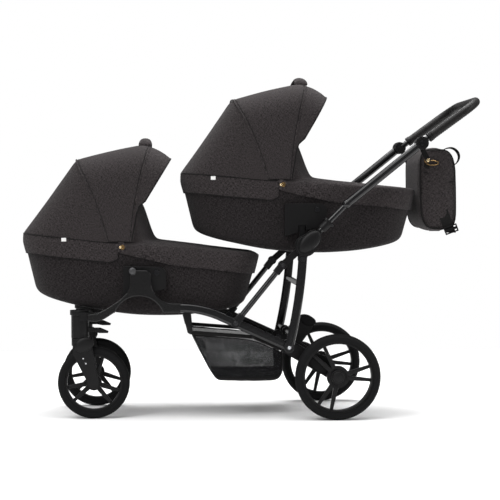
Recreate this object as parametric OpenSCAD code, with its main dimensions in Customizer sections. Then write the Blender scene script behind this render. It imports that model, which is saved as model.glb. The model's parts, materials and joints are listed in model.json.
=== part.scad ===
// Tandem twin pram: two carrycots, one behind and above the other, on a folding chassis.
// Lengths are millimetres. +X points to the pushing handle, +Y to the right-hand side, +Z up.
// The origin lies on the ground, under the middle of the length.

/* [Wheels] */
// Rear wheel radius
rear_wheel_r = 145; // [135:1:155]
// Rear tyre width
rear_tyre_w = 42; // [34:1:46]
// Rear tyre height from rim to tread
rear_tyre_t = 25; // [18:1:32]
// Distance from the middle plane of a base arm out to the middle plane of a rear wheel
rear_wheel_gap = 41; // [38:1:60]
// Front wheel radius
front_wheel_r = 122; // [110:1:124]
// Front tyre width
front_tyre_w = 36; // [28:1:40]
// Front tyre height from rim to tread
front_tyre_t = 24; // [16:1:30]
// Distance from the middle plane of a base arm in to the middle plane of a front wheel
front_wheel_gap = 52; // [44:1:54]
// Distance from the front axle to the rear axle
wheelbase = 821; // [780:1:860]
// Distance that a front axle trails behind its swivel axis
trail = 46; // [35:1:48]
// Thickness of the rim ring
rim_t = 8; // [5:1:10]
// Half the angle between the two spokes of a pair in a rear wheel
spoke_half_angle = 12; // [8:1:18]
// Half the angle between the two spokes of a pair in a front wheel
front_spoke_half_angle = 16; // [10:1:20]
// Pairs of spokes in a wheel
spoke_pairs = 3; // [3:1:5]

/* [Frame] */
// Rear axle, ahead of or behind the middle of the pram
rear_axle_x = 283; // [270:1:300]
// Fold hinge, ahead of the rear axle
hinge_setback = 100; // [80:1:120]
// Fold hinge height
hinge_z = 595; // [580:1:610]
// Foot of the rear leg, ahead of the rear axle
foot_setback = 163; // [150:1:175]
// Height of the base arm where it meets the front arch
arch_joint_z = 377; // [370:1:382]
// Length of the base arm, measured level
base_reach = 366; // [350:1:380]
// Slope of the rear half of the base arm, in degrees
base_slope = 24.5; // [23:0.5:26]
// Bend radius at the front of the base arm
base_bend_r = 330; // [280:5:360]
// Height of the oval base arm tube
arm_h = 30; // [26:1:34]
// Width of the oval base arm tube
arm_w = 18; // [14:1:20]
// Distance from the side of the carrycot to the middle plane of a base arm
arm_gap = 27; // [25:1:33]
// Depth of the oval rear leg tube
leg_h = 30; // [26:1:34]
// Width of the oval rear leg tube
leg_w = 16; // [12:1:18]
// Bend radius of the gently bowed rear leg
leg_bend_r = 1700; // [1400:50:2200]
// Diagonal tube diameter
diagonal_d = 19; // [16:1:22]
// Level distance from the foot of the leg to the lower end of the diagonal
diagonal_reach = 180; // [165:1:195]
// Crossbar tube diameter
crossbar_d = 20; // [16:1:24]
// Height of the upper crossbar between the rear legs
upper_crossbar_z = 456; // [420:1:480]
// Height of the lower crossbar, which carries the brake pedal
lower_crossbar_z = 282; // [278:1:300]
// Rear axle diameter
rear_axle_d = 12; // [10:1:16]
// Front axle pin diameter
front_axle_d = 10; // [8:1:14]
// Top of the front arch, where it carries the carrycot
arch_top_z = 504; // [495:1:515]
// Distance from the swivel axis back to the head of the front arch
arch_setback = 204; // [190:1:215]
// Width of the head of the front arch
arch_head_w = 71; // [60:1:80]
// Fillet between the head of the arch and the base arm
arch_fillet_r = 76; // [60:1:85]
// Radius of the span under the front arch
arch_span_r = 86; // [76:1:88]
// Height of the span under the front arch
arch_span_z = 418; // [412:1:420]
// Height of the bottom face of the swivel column
column_z = 274; // [270:1:280]
// Radius of the swivel column
column_r = 30; // [26:1:34]

/* [Handle] */
// Level distance from the fold hinge to the handle hub
hub_reach = 386; // [370:1:400]
// Height of the handle hub above the fold hinge
hub_rise = 337; // [320:1:350]
// Length of the thin lower part of the handle tube
lower_tube_l = 186; // [170:1:210]
// Slope of the lower part of the handle tube, in degrees
lower_tube_slope = 45; // [43:0.5:47]
// Lower handle tube diameter
lower_tube_d = 20; // [16:1:22]
// Upper handle tube diameter
upper_tube_d = 28; // [25:1:30]
// Radius of the round hub shell
hub_r = 22; // [20:1:26]
// Length of the handle bar from the hub axis to the middle of its cross piece
bar_l = 250; // [230:1:270]
// Slope of the handle bar, in degrees
bar_slope = 36; // [30:1:42]
// Handle bar tube diameter
bar_d = 21; // [18:1:24]
// Thickness of the padded grip on the handle bar
grip_t = 4.5; // [3:0.5:6]
// Bend radius at the corners of the handle bar
bar_bend_r = 75; // [60:1:100]
// Distance from the middle plane of a base arm in to a handle bar arm
bar_gap = 8; // [7:1:11]

/* [Carrycot] */
// Head end of the carrycot rim, from the adapter
cot_head = 402; // [380:1:410]
// Foot end of the carrycot rim, from the adapter
cot_foot = 402; // [390:1:404]
// Half the width of the carrycot at its rim
cot_hw = 197; // [185:1:198]
// Plan radius of the carrycot corners
cot_corner_r = 120; // [90:1:140]
// How far the tub draws in from the rim to the bottom at each end
cot_end_taper = 44; // [30:1:60]
// How far the tub draws in from the rim to the bottom at each side
cot_side_taper = 15; // [8:1:25]
// Thickness of the padded tub wall
cot_wall = 14; // [8:1:20]
// Thickness of the tub floor
cot_floor = 16; // [8:1:22]
// Height of the rim over the lowest point of the tub, at the adapter
rim_z = 225; // [215:1:235]
// Drop of the rim for each millimetre towards the foot
rim_slope = 0.05; // [0.03:0.01:0.07]
// Rise of the rockered tub bottom at its head end
rocker_head = 69; // [55:1:75]
// Rise of the rockered tub bottom at its foot end
rocker_foot = 40; // [25:1:50]
// Thickness of the mattress
mattress_t = 45; // [30:1:60]
// Thickness of the hard rim strip
rim_strip_t = 8; // [5:1:10]
// Thickness of the apron cloth
apron_t = 2.5; // [2:0.5:4]
// Height of the apron's upright wind flap over the rim
flap_h = 153; // [120:1:165]
// Carrycot height over the fold hinge: lowest point of the rear tub
rear_cot_drop = 35; // [33:1:40]
// Level distance from the fold hinge to the rear carrycot's adapter
rear_cot_setback = 16; // [14:1:24]
// Lowest point of the front tub below the top of the arch
front_cot_drop = 156; // [150:1:158]
// Foot-down tilt of the front carrycot, in degrees
front_cot_tilt = 1; // [0:0.5:1.5]

/* [Hood] */
// Hood pivot, from the adapter towards the head
hood_pivot_x = 70; // [60:1:80]
// Height of the hood pivot over the rim
hood_pivot_rise = 21; // [19:1:30]
// Hood reach at the top of the front bow
front_bow_r = 338; // [315:1:342]
// Hood reach at the top of the middle bow
mid_bow_r = 318; // [300:1:325]
// Hood reach at the tip of the visor
visor_r = 330; // [310:1:340]
// Angle of the front bow from level, in degrees
front_bow_angle = 78.5; // [76:0.5:88]
// Angle of the middle bow from level, in degrees
mid_bow_angle = 120; // [112:1:124]
// Angle of the visor edge from level, in degrees
visor_angle = 60; // [58:1:66]
// Thickness of the hood cloth
hood_t = 2.5; // [2:0.5:4]
// Bulge of the hood cloth between its bows
hood_bulge = 3; // [1:1:12]
// Depth of the hem that the hood hangs over the rim
hood_hem = 66; // [40:1:75]

/* [Basket and bag] */
// Distance from the middle plane of a base arm in to the side of the basket
basket_gap = 38; // [36:1:54]
// Height of the basket floor
basket_floor_z = 121; // [110:1:140]
// Basket wire diameter
basket_wire_d = 9; // [7:1:10]
// Distance from a handle bar arm in to the side of the changing bag
bag_gap = 66; // [60:1:80]
// Depth of the changing bag
bag_d = 128; // [110:1:140]
// Height of the changing bag
bag_h = 285; // [260:1:300]
// Width of the bag's shoulder strap
strap_w = 38; // [25:1:40]

/* [Fits] */
// Radial running clearance of a shaft in its bore
run_gap = 0.05; // [0.02:0.01:0.1]
// Gap between faces that move past each other
face_gap = 0.3; // [0.3:0.1:0.6]
// Gap between a soft cover and what it lies on
cloth_gap = 0.4; // [0.3:0.1:1]

/* [Hidden] */
$fn = 64;

black_metal = "#1c1c1e";
black_plastic = "#26262a";
foam_black = "#2b2b2d";
cloth_charcoal = "#3a3636";
cloth_dark = "#2c2929";
leather_black = "#1f1d1d";
bronze = "#a9854f";
steel = "#b9bcc0";

left = -1;
right = 1;

// Layers across the width of the folding frame, from the carrycot outwards
arm_y = cot_hw + arm_gap;
bar_y = arm_y - bar_gap;
basket_hw = arm_y - basket_gap;
bag_w = 2 * (bar_y - bag_gap);
rear_wheel_y = arm_y + rear_wheel_gap;
arm_in = arm_y - arm_w / 2;
arm_out = arm_y + arm_w / 2;
leg_in = arm_out + 2;
leg_out = leg_in + leg_w;
leg_y = (leg_in + leg_out) / 2;
cover_t = 14;

// Main points of the frame in the XZ plane
foot_x = rear_axle_x - foot_setback;
joint = [foot_x - base_reach, arch_joint_z];
bend_c = joint - [0, base_bend_r];
bend_end = bend_c + base_bend_r * [sin(base_slope), cos(base_slope)];
foot = [foot_x, bend_end[1] - (foot_x - bend_end[0]) * tan(base_slope)];
hinge = [rear_axle_x - hinge_setback, hinge_z];
rear_axle_c = [rear_axle_x, rear_wheel_r];
front_axle_c = [rear_axle_x - wheelbase, front_wheel_r];
swivel_x = front_axle_c[0] - trail;
swivel_y = arm_y - front_wheel_gap;
diagonal_low = foot + diagonal_reach * [-1, tan(base_slope)];
diagonal_top = hinge + [-84, -74];
hub = hinge + [hub_reach, hub_rise];
knee = hinge + lower_tube_l * [cos(lower_tube_slope), sin(lower_tube_slope)];
bar_axis = [cos(bar_slope), sin(bar_slope)];
arch_head_x = swivel_x + arch_setback;
arch_stud = [arch_head_x - arch_head_w / 2 + 9, arch_top_z - 2];
arch_stud_r = 12;

// Rivets and pins
rivet_r = 5;
rivet_head_r = 9;
rivet_head_t = 3;
boss_inset = 0.3;
hinge_pin_r = 8;
hinge_disc_r = 30;
clevis_t = 4;
clevis_r = 15;

// Points of a direction in degrees
function ray(a) = [cos(a), sin(a)];

// Draws the children at the given side of the pram
module at_side(side) {
    if (side > 0) children();
    else mirror([0, 1, 0]) children();
}

module pair() {
    for (side = [left, right]) at_side(side) children();
}

// Outline of an oval tube, x in the plane of its bends and y across the pram
module oval(depth, width) {
    square([depth - width, width], center = true);
    for (s = [-1, 1]) translate([s * (depth - width) / 2, 0]) circle(d = width);
}

// Sweeps a profile straight from p to q in the XZ plane
module run(p, q) {
    d = q - p;
    translate([p[0], 0, p[1]]) rotate([0, 90 - atan2(d[1], d[0]), 0])
        linear_extrude(norm(d)) children();
}

// Sweeps a profile round centre c in the XZ plane, from angle a to angle b
module bend(c, r, a, b) {
    translate([c[0], 0, c[1]]) rotate([90, 0, 0]) rotate(a) rotate_extrude(angle = b - a)
        translate([r, 0]) children();
}

// Extrudes an XZ outline across the pram from y0 to y1
module plate(y0, y1) {
    translate([0, y1, 0]) rotate([90, 0, 0]) linear_extrude(y1 - y0) children();
}

// Round pin across the pram
module cross_pin(p, r, y0, y1) {
    translate([p[0], y0, p[1]]) rotate([-90, 0, 0]) cylinder(r = r, h = y1 - y0);
}

// Straight wire between two points in space
module wire(p, q, r) {
    d = q - p;
    translate(p) rotate([0, acos(d[2] / norm(d)), atan2(d[1], d[0])])
        cylinder(r = r, h = norm(d));
}

// Unit normal of a grid of points at row i, column j
function grid_normal(g, i, j) =
    let (n = len(g) - 1, m = len(g[0]) - 1)
    let (a = g[min(i + 1, n)][j] - g[max(i - 1, 0)][j])
    let (b = g[i][min(j + 1, m)] - g[i][max(j - 1, 0)])
    let (c = cross(a, b))
    c / norm(c);

// Two triangles that fill a quad, corners clockwise from outside
function quad(a, b, c, d) = [[a, b, c], [a, c, d]];

// Closed cloth of thickness t over a grid of points, which is its inner face
module cloth(g, t) {
    n = len(g);
    m = len(g[0]);
    back = [for (i = [0:n - 1]) for (j = [0:m - 1]) g[i][j] + t * grid_normal(g, i, j)];
    function f(i, j) = i * m + j;
    function b(i, j) = n * m + i * m + j;
    faces = concat(
        [for (i = [0:n - 2]) for (j = [0:m - 2])
            each quad(f(i, j), f(i, j + 1), f(i + 1, j + 1), f(i + 1, j))],
        [for (i = [0:n - 2]) for (j = [0:m - 2])
            each quad(b(i, j), b(i + 1, j), b(i + 1, j + 1), b(i, j + 1))],
        [for (i = [0:n - 2]) each quad(f(i, 0), f(i + 1, 0), b(i + 1, 0), b(i, 0))],
        [for (i = [0:n - 2]) each quad(f(i + 1, m - 1), f(i, m - 1), b(i, m - 1), b(i + 1, m - 1))],
        [for (j = [0:m - 2]) each quad(f(0, j + 1), f(0, j), b(0, j), b(0, j + 1))],
        [for (j = [0:m - 2]) each quad(f(n - 1, j), f(n - 1, j + 1), b(n - 1, j + 1), b(n - 1, j))]
    );
    polyhedron([for (row = g) each row, each back], faces);
}

// Closed loft through rings that are mirror images across the XZ plane: each ring lists its
// right-hand points and then its left-hand points backwards, so that flat strips close its ends
module loft(rings) {
    n = len(rings);
    m = len(rings[0]);
    function p(i, j) = i * m + j % m;
    half = m / 2;
    strips = [for (j = [0:half - 2]) [j, j + 1, m - 2 - j, m - 1 - j]];
    last = (n - 1) * m;
    faces = concat(
        [for (i = [0:n - 2]) for (j = [0:m - 1])
            each quad(p(i, j), p(i, j + 1), p(i + 1, j + 1), p(i + 1, j))],
        [for (s = strips) each quad(s[3], s[2], s[1], s[0])],
        [for (s = strips) each quad(last + s[0], last + s[1], last + s[2], last + s[3])]
    );
    polyhedron([for (r = rings) each r], faces);
}

// Base arm: sloping oval tube from the foot of the rear leg, bent level before the front arch
module base_arm(side) {
    color(black_metal) at_side(side) translate([0, arm_y, 0]) difference() {
        union() {
            run(bend_end, foot) oval(arm_h, arm_w);
            bend(bend_c, base_bend_r, 90 - base_slope, 90) oval(arm_h, arm_w);
            plate(boss_inset - arm_w / 2, arm_w / 2 - boss_inset) translate(foot) circle(r = arm_h / 2 + 3);
        }
        for (p = [foot, diagonal_low]) cross_pin(p, rivet_r + run_gap, -arm_w, arm_w);
    }
}

// Outline of the moulded front arch: a hump that carries the carrycot and runs on to the column
module arch_outline() {
    head_corner_r = 20;
    span_shift = 5;
    lo = joint[1] - arm_h / 2;
    hi = joint[1] + arm_h / 2;
    x0 = arch_head_x - arch_head_w / 2;
    x1 = arch_head_x + arch_head_w / 2;
    nose = swivel_x + column_r - 2;
    difference() {
        union() {
            polygon([
                [joint[0], lo], [joint[0], hi], [x1 + arch_fillet_r, hi], [x1, hi + arch_fillet_r],
                [x1, arch_top_z - head_corner_r], [x0, arch_top_z - head_corner_r], [x0, hi + 58],
                [x0 - 10, hi + 36], [x0 - 32, hi + 14], [x0 - 62, hi - 7], [x0 - 84, hi - 20],
                [x0 - 108, hi - 32], [nose, hi - 36],
                [nose, lo - 28], [x0 - 110, lo - 30], [x0 - 84, lo - 20], [x0 - 53, lo]
            ]);
            translate([x1, hi]) square([arch_fillet_r, arch_fillet_r]);
            translate([x0 + head_corner_r, hi]) square([arch_head_w - 2 * head_corner_r, arch_top_z - hi]);
            for (x = [x0 + head_corner_r, x1 - head_corner_r])
                translate([x, arch_top_z - head_corner_r]) circle(r = head_corner_r);
        }
        translate([x1 + arch_fillet_r, hi + arch_fillet_r]) circle(r = arch_fillet_r);
        translate([arch_head_x - span_shift, arch_span_z - arch_span_r]) circle(r = arch_span_r);
        translate(arch_stud) circle(r = arch_stud_r + run_gap);
    }
}

// Tongue that stands on the chassis and holds a carrycot by its side plate
tongue_w = 20;
tongue_y0 = cot_hw + 6.8;
tongue_y1 = tongue_y0 + 5.9;
module tongue(x, foot_z, top_z, reach_y) {
    foot_h = 20;
    translate([x - tongue_w / 2, tongue_y0, foot_z]) {
        cube([tongue_w, tongue_y1 - tongue_y0, top_z - foot_z]);
        cube([tongue_w, reach_y - tongue_y0, foot_h]);
    }
}

module front_arch(side) {
    color(black_plastic) at_side(side) {
        plate(arm_in, arm_out) arch_outline();
        tongue(arch_head_x, arch_span_z + 1.5, front_cot_o[1] + slot_top - 4, arm_in + 1);
    }
}

// Diagonal tubes that brace the hinge against the base arms, with a clevis at each end
diagonal_dir = (diagonal_top - diagonal_low) / norm(diagonal_top - diagonal_low);
clevis_reach = 0.5 * arm_h / sin(45) + 4;
module clevis(p, dir) {
    half = arm_w / 2 + run_gap + clevis_t;
    for (y = [-half, half - clevis_t]) plate(y, y + clevis_t) {
        translate(p) circle(r = clevis_r);
        translate(p) rotate(atan2(dir[1], dir[0])) translate([0, -clevis_r + 3])
            square([clevis_reach + 10, 2 * clevis_r - 6]);
    }
    plate(-half, half) translate(p) rotate(atan2(dir[1], dir[0]))
        translate([clevis_reach, -clevis_r + 3]) square([10, 2 * clevis_r - 6]);
}

module diagonal_tubes() {
    tube_start = diagonal_dir * (clevis_reach + 4);
    color(black_metal) pair() translate([0, arm_y, 0]) difference() {
        union() {
            run(diagonal_low + tube_start, diagonal_top - tube_start) circle(d = diagonal_d);
            clevis(diagonal_low, diagonal_dir);
            clevis(diagonal_top, -diagonal_dir);
        }
        for (p = [diagonal_low, diagonal_top]) cross_pin(p, rivet_r + run_gap, -leg_out, leg_out);
    }
}

// Rear legs: bowed oval tubes from the foot up to the fold hinge
leg_top = hinge + [-16, -26];
leg_chord = norm(leg_top - foot);
leg_half_angle = asin(leg_chord / 2 / leg_bend_r);
leg_tilt = atan2(leg_top[1] - foot[1], leg_top[0] - foot[0]);
leg_bend_c = (foot + leg_top) / 2 + leg_bend_r * cos(leg_half_angle) * ray(leg_tilt + 90);
leg_a0 = leg_tilt - 90 - leg_half_angle;
leg_a1 = leg_tilt - 90 + leg_half_angle;
function leg_x(z) = leg_bend_c[0] + sqrt(leg_bend_r ^ 2 - (z - leg_bend_c[1]) ^ 2);
leg_rivet_z = hinge[1] - 54;
leg_rivet = [leg_x(leg_rivet_z), leg_rivet_z];

module rear_legs() {
    color(black_metal) pair() translate([0, leg_y, 0]) difference() {
        union() {
            bend(leg_bend_c, leg_bend_r, leg_a0, leg_a1, $fn = 360) oval(leg_h, leg_w);
            plate(boss_inset - leg_w / 2, leg_w / 2 - boss_inset) translate(foot) circle(r = leg_h / 2 + 3);
        }
        cross_pin(hinge, hinge_disc_r + face_gap + 0.2, -leg_w, leg_w);
        for (p = [foot, leg_rivet]) cross_pin(p, rivet_r + run_gap, -leg_w, leg_w);
    }
}

// Rear knuckles: cast trailing arms between the foot of the leg and the rear axle
knuckle_t = 18;
knuckle_out = arm_in - 0.1;
module rear_knuckles() {
    d = rear_axle_c - foot;
    side_dir = ray(atan2(d[1], d[0]) + 90);
    foot_r = 25;
    axle_r = 28;
    color(black_plastic) pair() difference() {
        plate(knuckle_out - knuckle_t, knuckle_out) difference() {
            union() {
                translate(foot) circle(r = foot_r);
                translate(rear_axle_c) circle(r = axle_r);
                polygon([
                    foot + side_dir * foot_r, rear_axle_c + side_dir * axle_r * 0.8,
                    rear_axle_c - side_dir * axle_r * 0.8, foot - side_dir * foot_r
                ]);
            }
            translate((foot + rear_axle_c) / 2) rotate(atan2(d[1], d[0])) oval(70, 18);
        }
        cross_pin(foot, rivet_r + run_gap, 0, leg_out);
        cross_pin(rear_axle_c, rear_axle_d / 2 + run_gap, 0, leg_out);
    }
}

// Fold hinges: inner plate with the bracket for the diagonal, hinge pin and egg-shaped outer cover
hinge_in = arm_y - 6;
cover_in = leg_out + face_gap;
module hinge_egg(grow) {
    axis = ray(lower_tube_slope);
    side_dir = ray(lower_tube_slope + 90);
    a = hinge - axis * 12;
    b = hinge + axis * 26;
    big_r = 36;
    small_r = 27;
    translate(a) circle(r = big_r + grow);
    translate(b) circle(r = small_r + grow);
    big = side_dir * (big_r - 1 + grow);
    small = side_dir * (small_r - 1 + grow);
    polygon([a + big, a - big, b - small, b + small]);
}

module hinge_housings() {
    d = diagonal_top - hinge;
    color(black_plastic) pair() difference() {
        union() {
            plate(hinge_in, leg_in - face_gap) {
                hinge_egg(-2);
                translate(leg_rivet) circle(r = 15);
                polygon([leg_rivet + [-15, 0], leg_rivet + [15, 0], hinge + [15, 0], hinge + [-30, 0]]);
            }
            plate(arm_y - arm_w / 2 + run_gap + 0.5, arm_y + arm_w / 2 - run_gap - 0.5) {
                translate(diagonal_top) circle(r = 14);
                translate(hinge) rotate(atan2(d[1], d[0])) translate([0, -11]) square([norm(d), 22]);
            }
            plate(cover_in, cover_in + 8) hinge_egg(0);
            plate(cover_in + 8, cover_in + cover_t) hinge_egg(-5);
            cross_pin(hinge, hinge_pin_r, hinge_in, cover_in + 4);
            tongue(rear_cot_o[0], hinge[1] - 12, rear_cot_o[1] + slot_top - 4, hinge_in + 1);
        }
        for (p = [diagonal_top, leg_rivet]) cross_pin(p, rivet_r + run_gap, 0, cover_in);
    }
}

// Crossbars between the rear legs
module leg_crossbars() {
    color(black_metal) for (z = [lower_crossbar_z, upper_crossbar_z])
        cross_pin([leg_x(z), z], crossbar_d / 2, -leg_in, leg_in);
}

// Rear axle with its shoulders against the knuckles and the wheel hubs
rear_hub_half = 24;
module rear_axle() {
    color(steel) {
        cross_pin(rear_axle_c, rear_axle_d / 2, -rear_wheel_y - 12, rear_wheel_y + 12);
        pair() cross_pin(rear_axle_c, rear_axle_d / 2 + 7, arm_in, rear_wheel_y - rear_hub_half - face_gap);
    }
}

// Swivel columns at the front, each with a boss for the crossbar and an arm to the front arch
crossbar_front_z = 318;
boss_y = swivel_y - column_r - 6;
stem_r = 9;
stem_top = column_z + 62;
column_top = joint[1] - 9;
lock_pivot = [swivel_x + column_r + 8, column_z + 28];
lock_half_w = 8;
lock_pin_r = 3;
module swivel_columns() {
    color(black_plastic) pair() difference() {
        union() {
            translate([swivel_x, swivel_y, column_z]) cylinder(r = column_r, h = column_top - 16 - column_z);
            translate([swivel_x, swivel_y, column_top - 16]) cylinder(r = column_r + 4, h = 16);
            translate([swivel_x, swivel_y, crossbar_front_z])
                rotate([90, 0, 0]) cylinder(r = crossbar_d / 2 + 4, h = swivel_y - boss_y);
            translate([swivel_x, swivel_y, joint[1] - 42])
                cube([column_r + 34, arm_in - swivel_y, 26]);
            for (y = [-lock_half_w - 4, lock_half_w])
                translate([swivel_x + column_r - 4, swivel_y + y, lock_pivot[1] - 8]) cube([20, 4, 16]);
        }
        translate([swivel_x, swivel_y, column_z - 1])
            cylinder(r = stem_r + run_gap, h = stem_top + 3 - column_z);
        cross_pin(lock_pivot, lock_pin_r + run_gap, 0, arm_in);
    }
}

module front_crossbar() {
    color(black_metal) cross_pin([swivel_x, crossbar_front_z], crossbar_d / 2, -boss_y, boss_y);
}

// Shopping basket: wires that hang from the base arms and carry a mesh trough
basket_mid_x = 118;
basket_mid_drop = 102;
basket_front = [joint[0] + 33, joint[1] - 85];
basket_front_low = [basket_front[0] + 82, basket_floor_z + 4];
basket_mid = [foot[0] - basket_mid_x, joint[1] - basket_mid_drop];
basket_rear = [foot[0] - 10, foot[1] - 14];
basket_rear_low = [foot[0] - 4, basket_floor_z];
basket_hook = [joint[0] + 16, joint[1] - 4];
basket_low_hw = basket_hw - 22;
wire_r = basket_wire_d / 2;
bead_r = wire_r + 1;
wire_y = basket_hw + bead_r;

module basket_frame() {
    function at(p, y) = [p[0], y, p[1]];
    top = [basket_hook, basket_front, basket_mid, basket_rear];
    bead_half = wire_r + 2;
    color(black_metal) {
        pair() {
            for (i = [0:2]) wire(at(top[i], wire_y), at(top[i + 1], wire_y), wire_r);
            for (p = [basket_hook, basket_front, basket_mid])
                cross_pin(p, bead_r, wire_y - bead_half, wire_y + bead_half);
            cross_pin(basket_rear, bead_r, wire_y - bead_half, knuckle_out - knuckle_t);
            cross_pin(basket_hook, wire_r - 1, wire_y, arm_in);
        }
        for (p = [basket_front, basket_rear]) cross_pin(p, wire_r - 1, -wire_y, wire_y);
    }
}

// Mesh trough: each row is a line across the basket, from the front edge down, along and up again
module basket_mesh() {
    gap = bead_r + cloth_gap + 0.6;
    drop = [0, -gap];
    function row(top, low) =
        let (side = [[1, 0], [0.98, 0.45], [0.9, 0.92], [0.8, 1]])
        let (at = [for (s = side) top + (low - top) * s[1]])
        let (p = [for (i = [0:3]) [at[i][0], side[i][0] * basket_hw, at[i][1]]])
        [for (q = p) q, [low[0], 0, low[1]], for (i = [3:-1:0]) [p[i][0], -p[i][1], p[i][2]]];
    front = basket_front + [gap, 0];
    rear = basket_rear - [gap, 0];
    grid = [
        row(front, front + [2, -12]),
        row(front + [8, -gap], (front + basket_front_low) / 2),
        row(front + [20, -gap - 1], basket_front_low + [6, -4]),
        row((front + basket_mid) / 2 + drop, [basket_front[0] / 2 + basket_mid[0] / 2, basket_floor_z]),
        row(basket_mid + drop, [basket_mid[0], basket_floor_z]),
        row((basket_mid + rear) / 2 + drop, [basket_mid[0] / 2 + rear[0] / 2, basket_floor_z]),
        row(rear + [-10, -2], basket_rear_low + [-10, 0]),
        row(rear + [-4, -1], (rear + basket_rear_low) / 2),
        row(rear, rear + [0, -12])
    ];
    color(cloth_dark) cloth(grid, apron_t);
}

// Rivets through the frame's fixed joints, each with a head on both faces, and the arch studs
module rivet(p, y0, y1) {
    cross_pin(p, rivet_r, y0 - 1, y1 + 1);
    cross_pin(p, rivet_head_r, y0 - rivet_head_t, y0);
    cross_pin(p, rivet_head_r, y1, y1 + rivet_head_t);
}

module frame_rivets() {
    half = arm_w / 2 + run_gap + clevis_t;
    color(steel) pair() {
        rivet(foot, knuckle_out - knuckle_t, leg_out);
        rivet(diagonal_low, arm_y - half, arm_y + half);
        rivet(diagonal_top, arm_y - half, arm_y + half);
        rivet(leg_rivet, hinge_in, leg_out);
        cross_pin(arch_stud, arch_stud_r, arm_in + 2, arm_out - 2);
    }
}

// Handle tubes: hinge knuckle, thin lower tube and thick upper tube up to the hub
upper_dir = (hub - knee) / norm(hub - knee);
module handle_tubes() {
    axis = ray(lower_tube_slope);
    tang_l = 62;
    color(black_metal) pair() translate([0, leg_y, 0]) difference() {
        union() {
            plate(-leg_w / 2, leg_w / 2) translate(hinge) circle(r = hinge_disc_r);
            run(hinge, hinge + axis * tang_l)
                square([lower_tube_d - 2, leg_w - 2 * boss_inset], center = true);
            run(hinge + axis * (tang_l - 4), knee) circle(d = lower_tube_d - 0.01);
            translate([knee[0], 0, knee[1]]) sphere(r = upper_tube_d / 2 + 1.5);
            run(knee, hub - upper_dir * (hub_r - 6)) circle(d = upper_tube_d);
        }
        cross_pin(hinge, hinge_pin_r + run_gap, -leg_w, leg_w);
        translate([0, -leg_y, 0]) cross_pin(hub, hub_r - 3, 0, 2 * leg_y);
    }
}

// Hub shells: round ends of the handle tubes, with the pivot pin for the bar and a button pocket
hub_half = upper_tube_d / 2;
hub_pin_r = 7;
button_r = 9;
button_depth = 9;
module hub_shells() {
    color(black_plastic) pair() translate([0, leg_y, 0]) difference() {
        union() {
            difference() {
                plate(-hub_half, hub_half) translate(hub) circle(r = hub_r);
                run(hub - upper_dir * hub_r * 2, hub - upper_dir * (hub_r - 6))
                    circle(d = upper_tube_d + 2 * run_gap);
            }
            plate(-hub_half, hub_half) translate(hub) circle(r = hub_r - 3 - run_gap);
            cross_pin(hub, hub_pin_r, bar_y - leg_y - bar_d / 2 + 1, 0);
        }
        cross_pin(hub, button_r + run_gap, hub_half - button_depth, hub_half + 1);
    }
}

module hub_button(side) {
    travel = 4;
    inner = leg_y + hub_half - button_depth + travel + 0.5;
    color(steel) at_side(side) {
        cross_pin(hub, button_r, inner, leg_y + hub_half + 2);
        cross_pin(hub, button_r - 2, leg_y + hub_half + 2, leg_y + hub_half + 4);
    }
}

// Places the handle bar's own plane: x along an arm, y across the pram
module in_bar_plane() {
    translate([hub[0], 0, hub[1]]) rotate([0, -bar_slope, 0]) children();
}

// U-shaped run of the handle bar with the given cross section, its arms starting at distance s0
module bar_run(s0) {
    l = bar_l - bar_bend_r;
    h = bar_y - bar_bend_r;
    for (s = [left, right]) {
        translate([s0, s * bar_y, 0]) rotate([0, 90, 0]) linear_extrude(l - s0) children();
        translate([l, s * h, 0]) rotate(s > 0 ? 0 : -90) rotate_extrude(angle = 90)
            translate([bar_bend_r, 0]) children();
    }
    translate([bar_l, h, 0]) rotate([90, 0, 0]) linear_extrude(2 * h) children();
}

disc_y0 = bar_y - bar_d / 2 + 2;
disc_y1 = leg_y - hub_half - face_gap;
module handle_bar() {
    disc_r = hub_r - 2;
    color(black_metal) difference() {
        union() {
            in_bar_plane() bar_run(0) circle(d = bar_d);
            pair() cross_pin(hub, disc_r, disc_y0, disc_y1);
        }
        pair() {
            cross_pin(hub, hub_pin_r + run_gap, bar_y - bar_d, leg_y);
            cross_pin(hub, disc_r + 4, disc_y1, leg_y);
        }
    }
}

module handle_grip() {
    grip_start = hub_r + 14;
    color(leather_black) in_bar_plane() bar_run(grip_start) difference() {
        circle(d = bar_d + 2 * grip_t);
        circle(d = bar_d + 2 * run_gap);
    }
}

// Fold latches: sliding collars on the lower handle tubes
latch_from = 66;
latch_l = 38;
module fold_latches() {
    axis = ray(lower_tube_slope);
    latch_end = latch_from + latch_l;
    lip_l = 8;
    color(black_plastic) pair() translate([0, leg_y, 0]) {
        run(hinge + axis * latch_from, hinge + axis * latch_end) difference() {
            circle(d = lower_tube_d + 10);
            circle(d = lower_tube_d + 2 * run_gap);
        }
        run(hinge + axis * (latch_end - lip_l), hinge + axis * latch_end) difference() {
            translate([0, 2]) oval(lower_tube_d + 20, lower_tube_d + 8);
            circle(d = lower_tube_d + 2 * run_gap);
        }
    }
}

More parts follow.
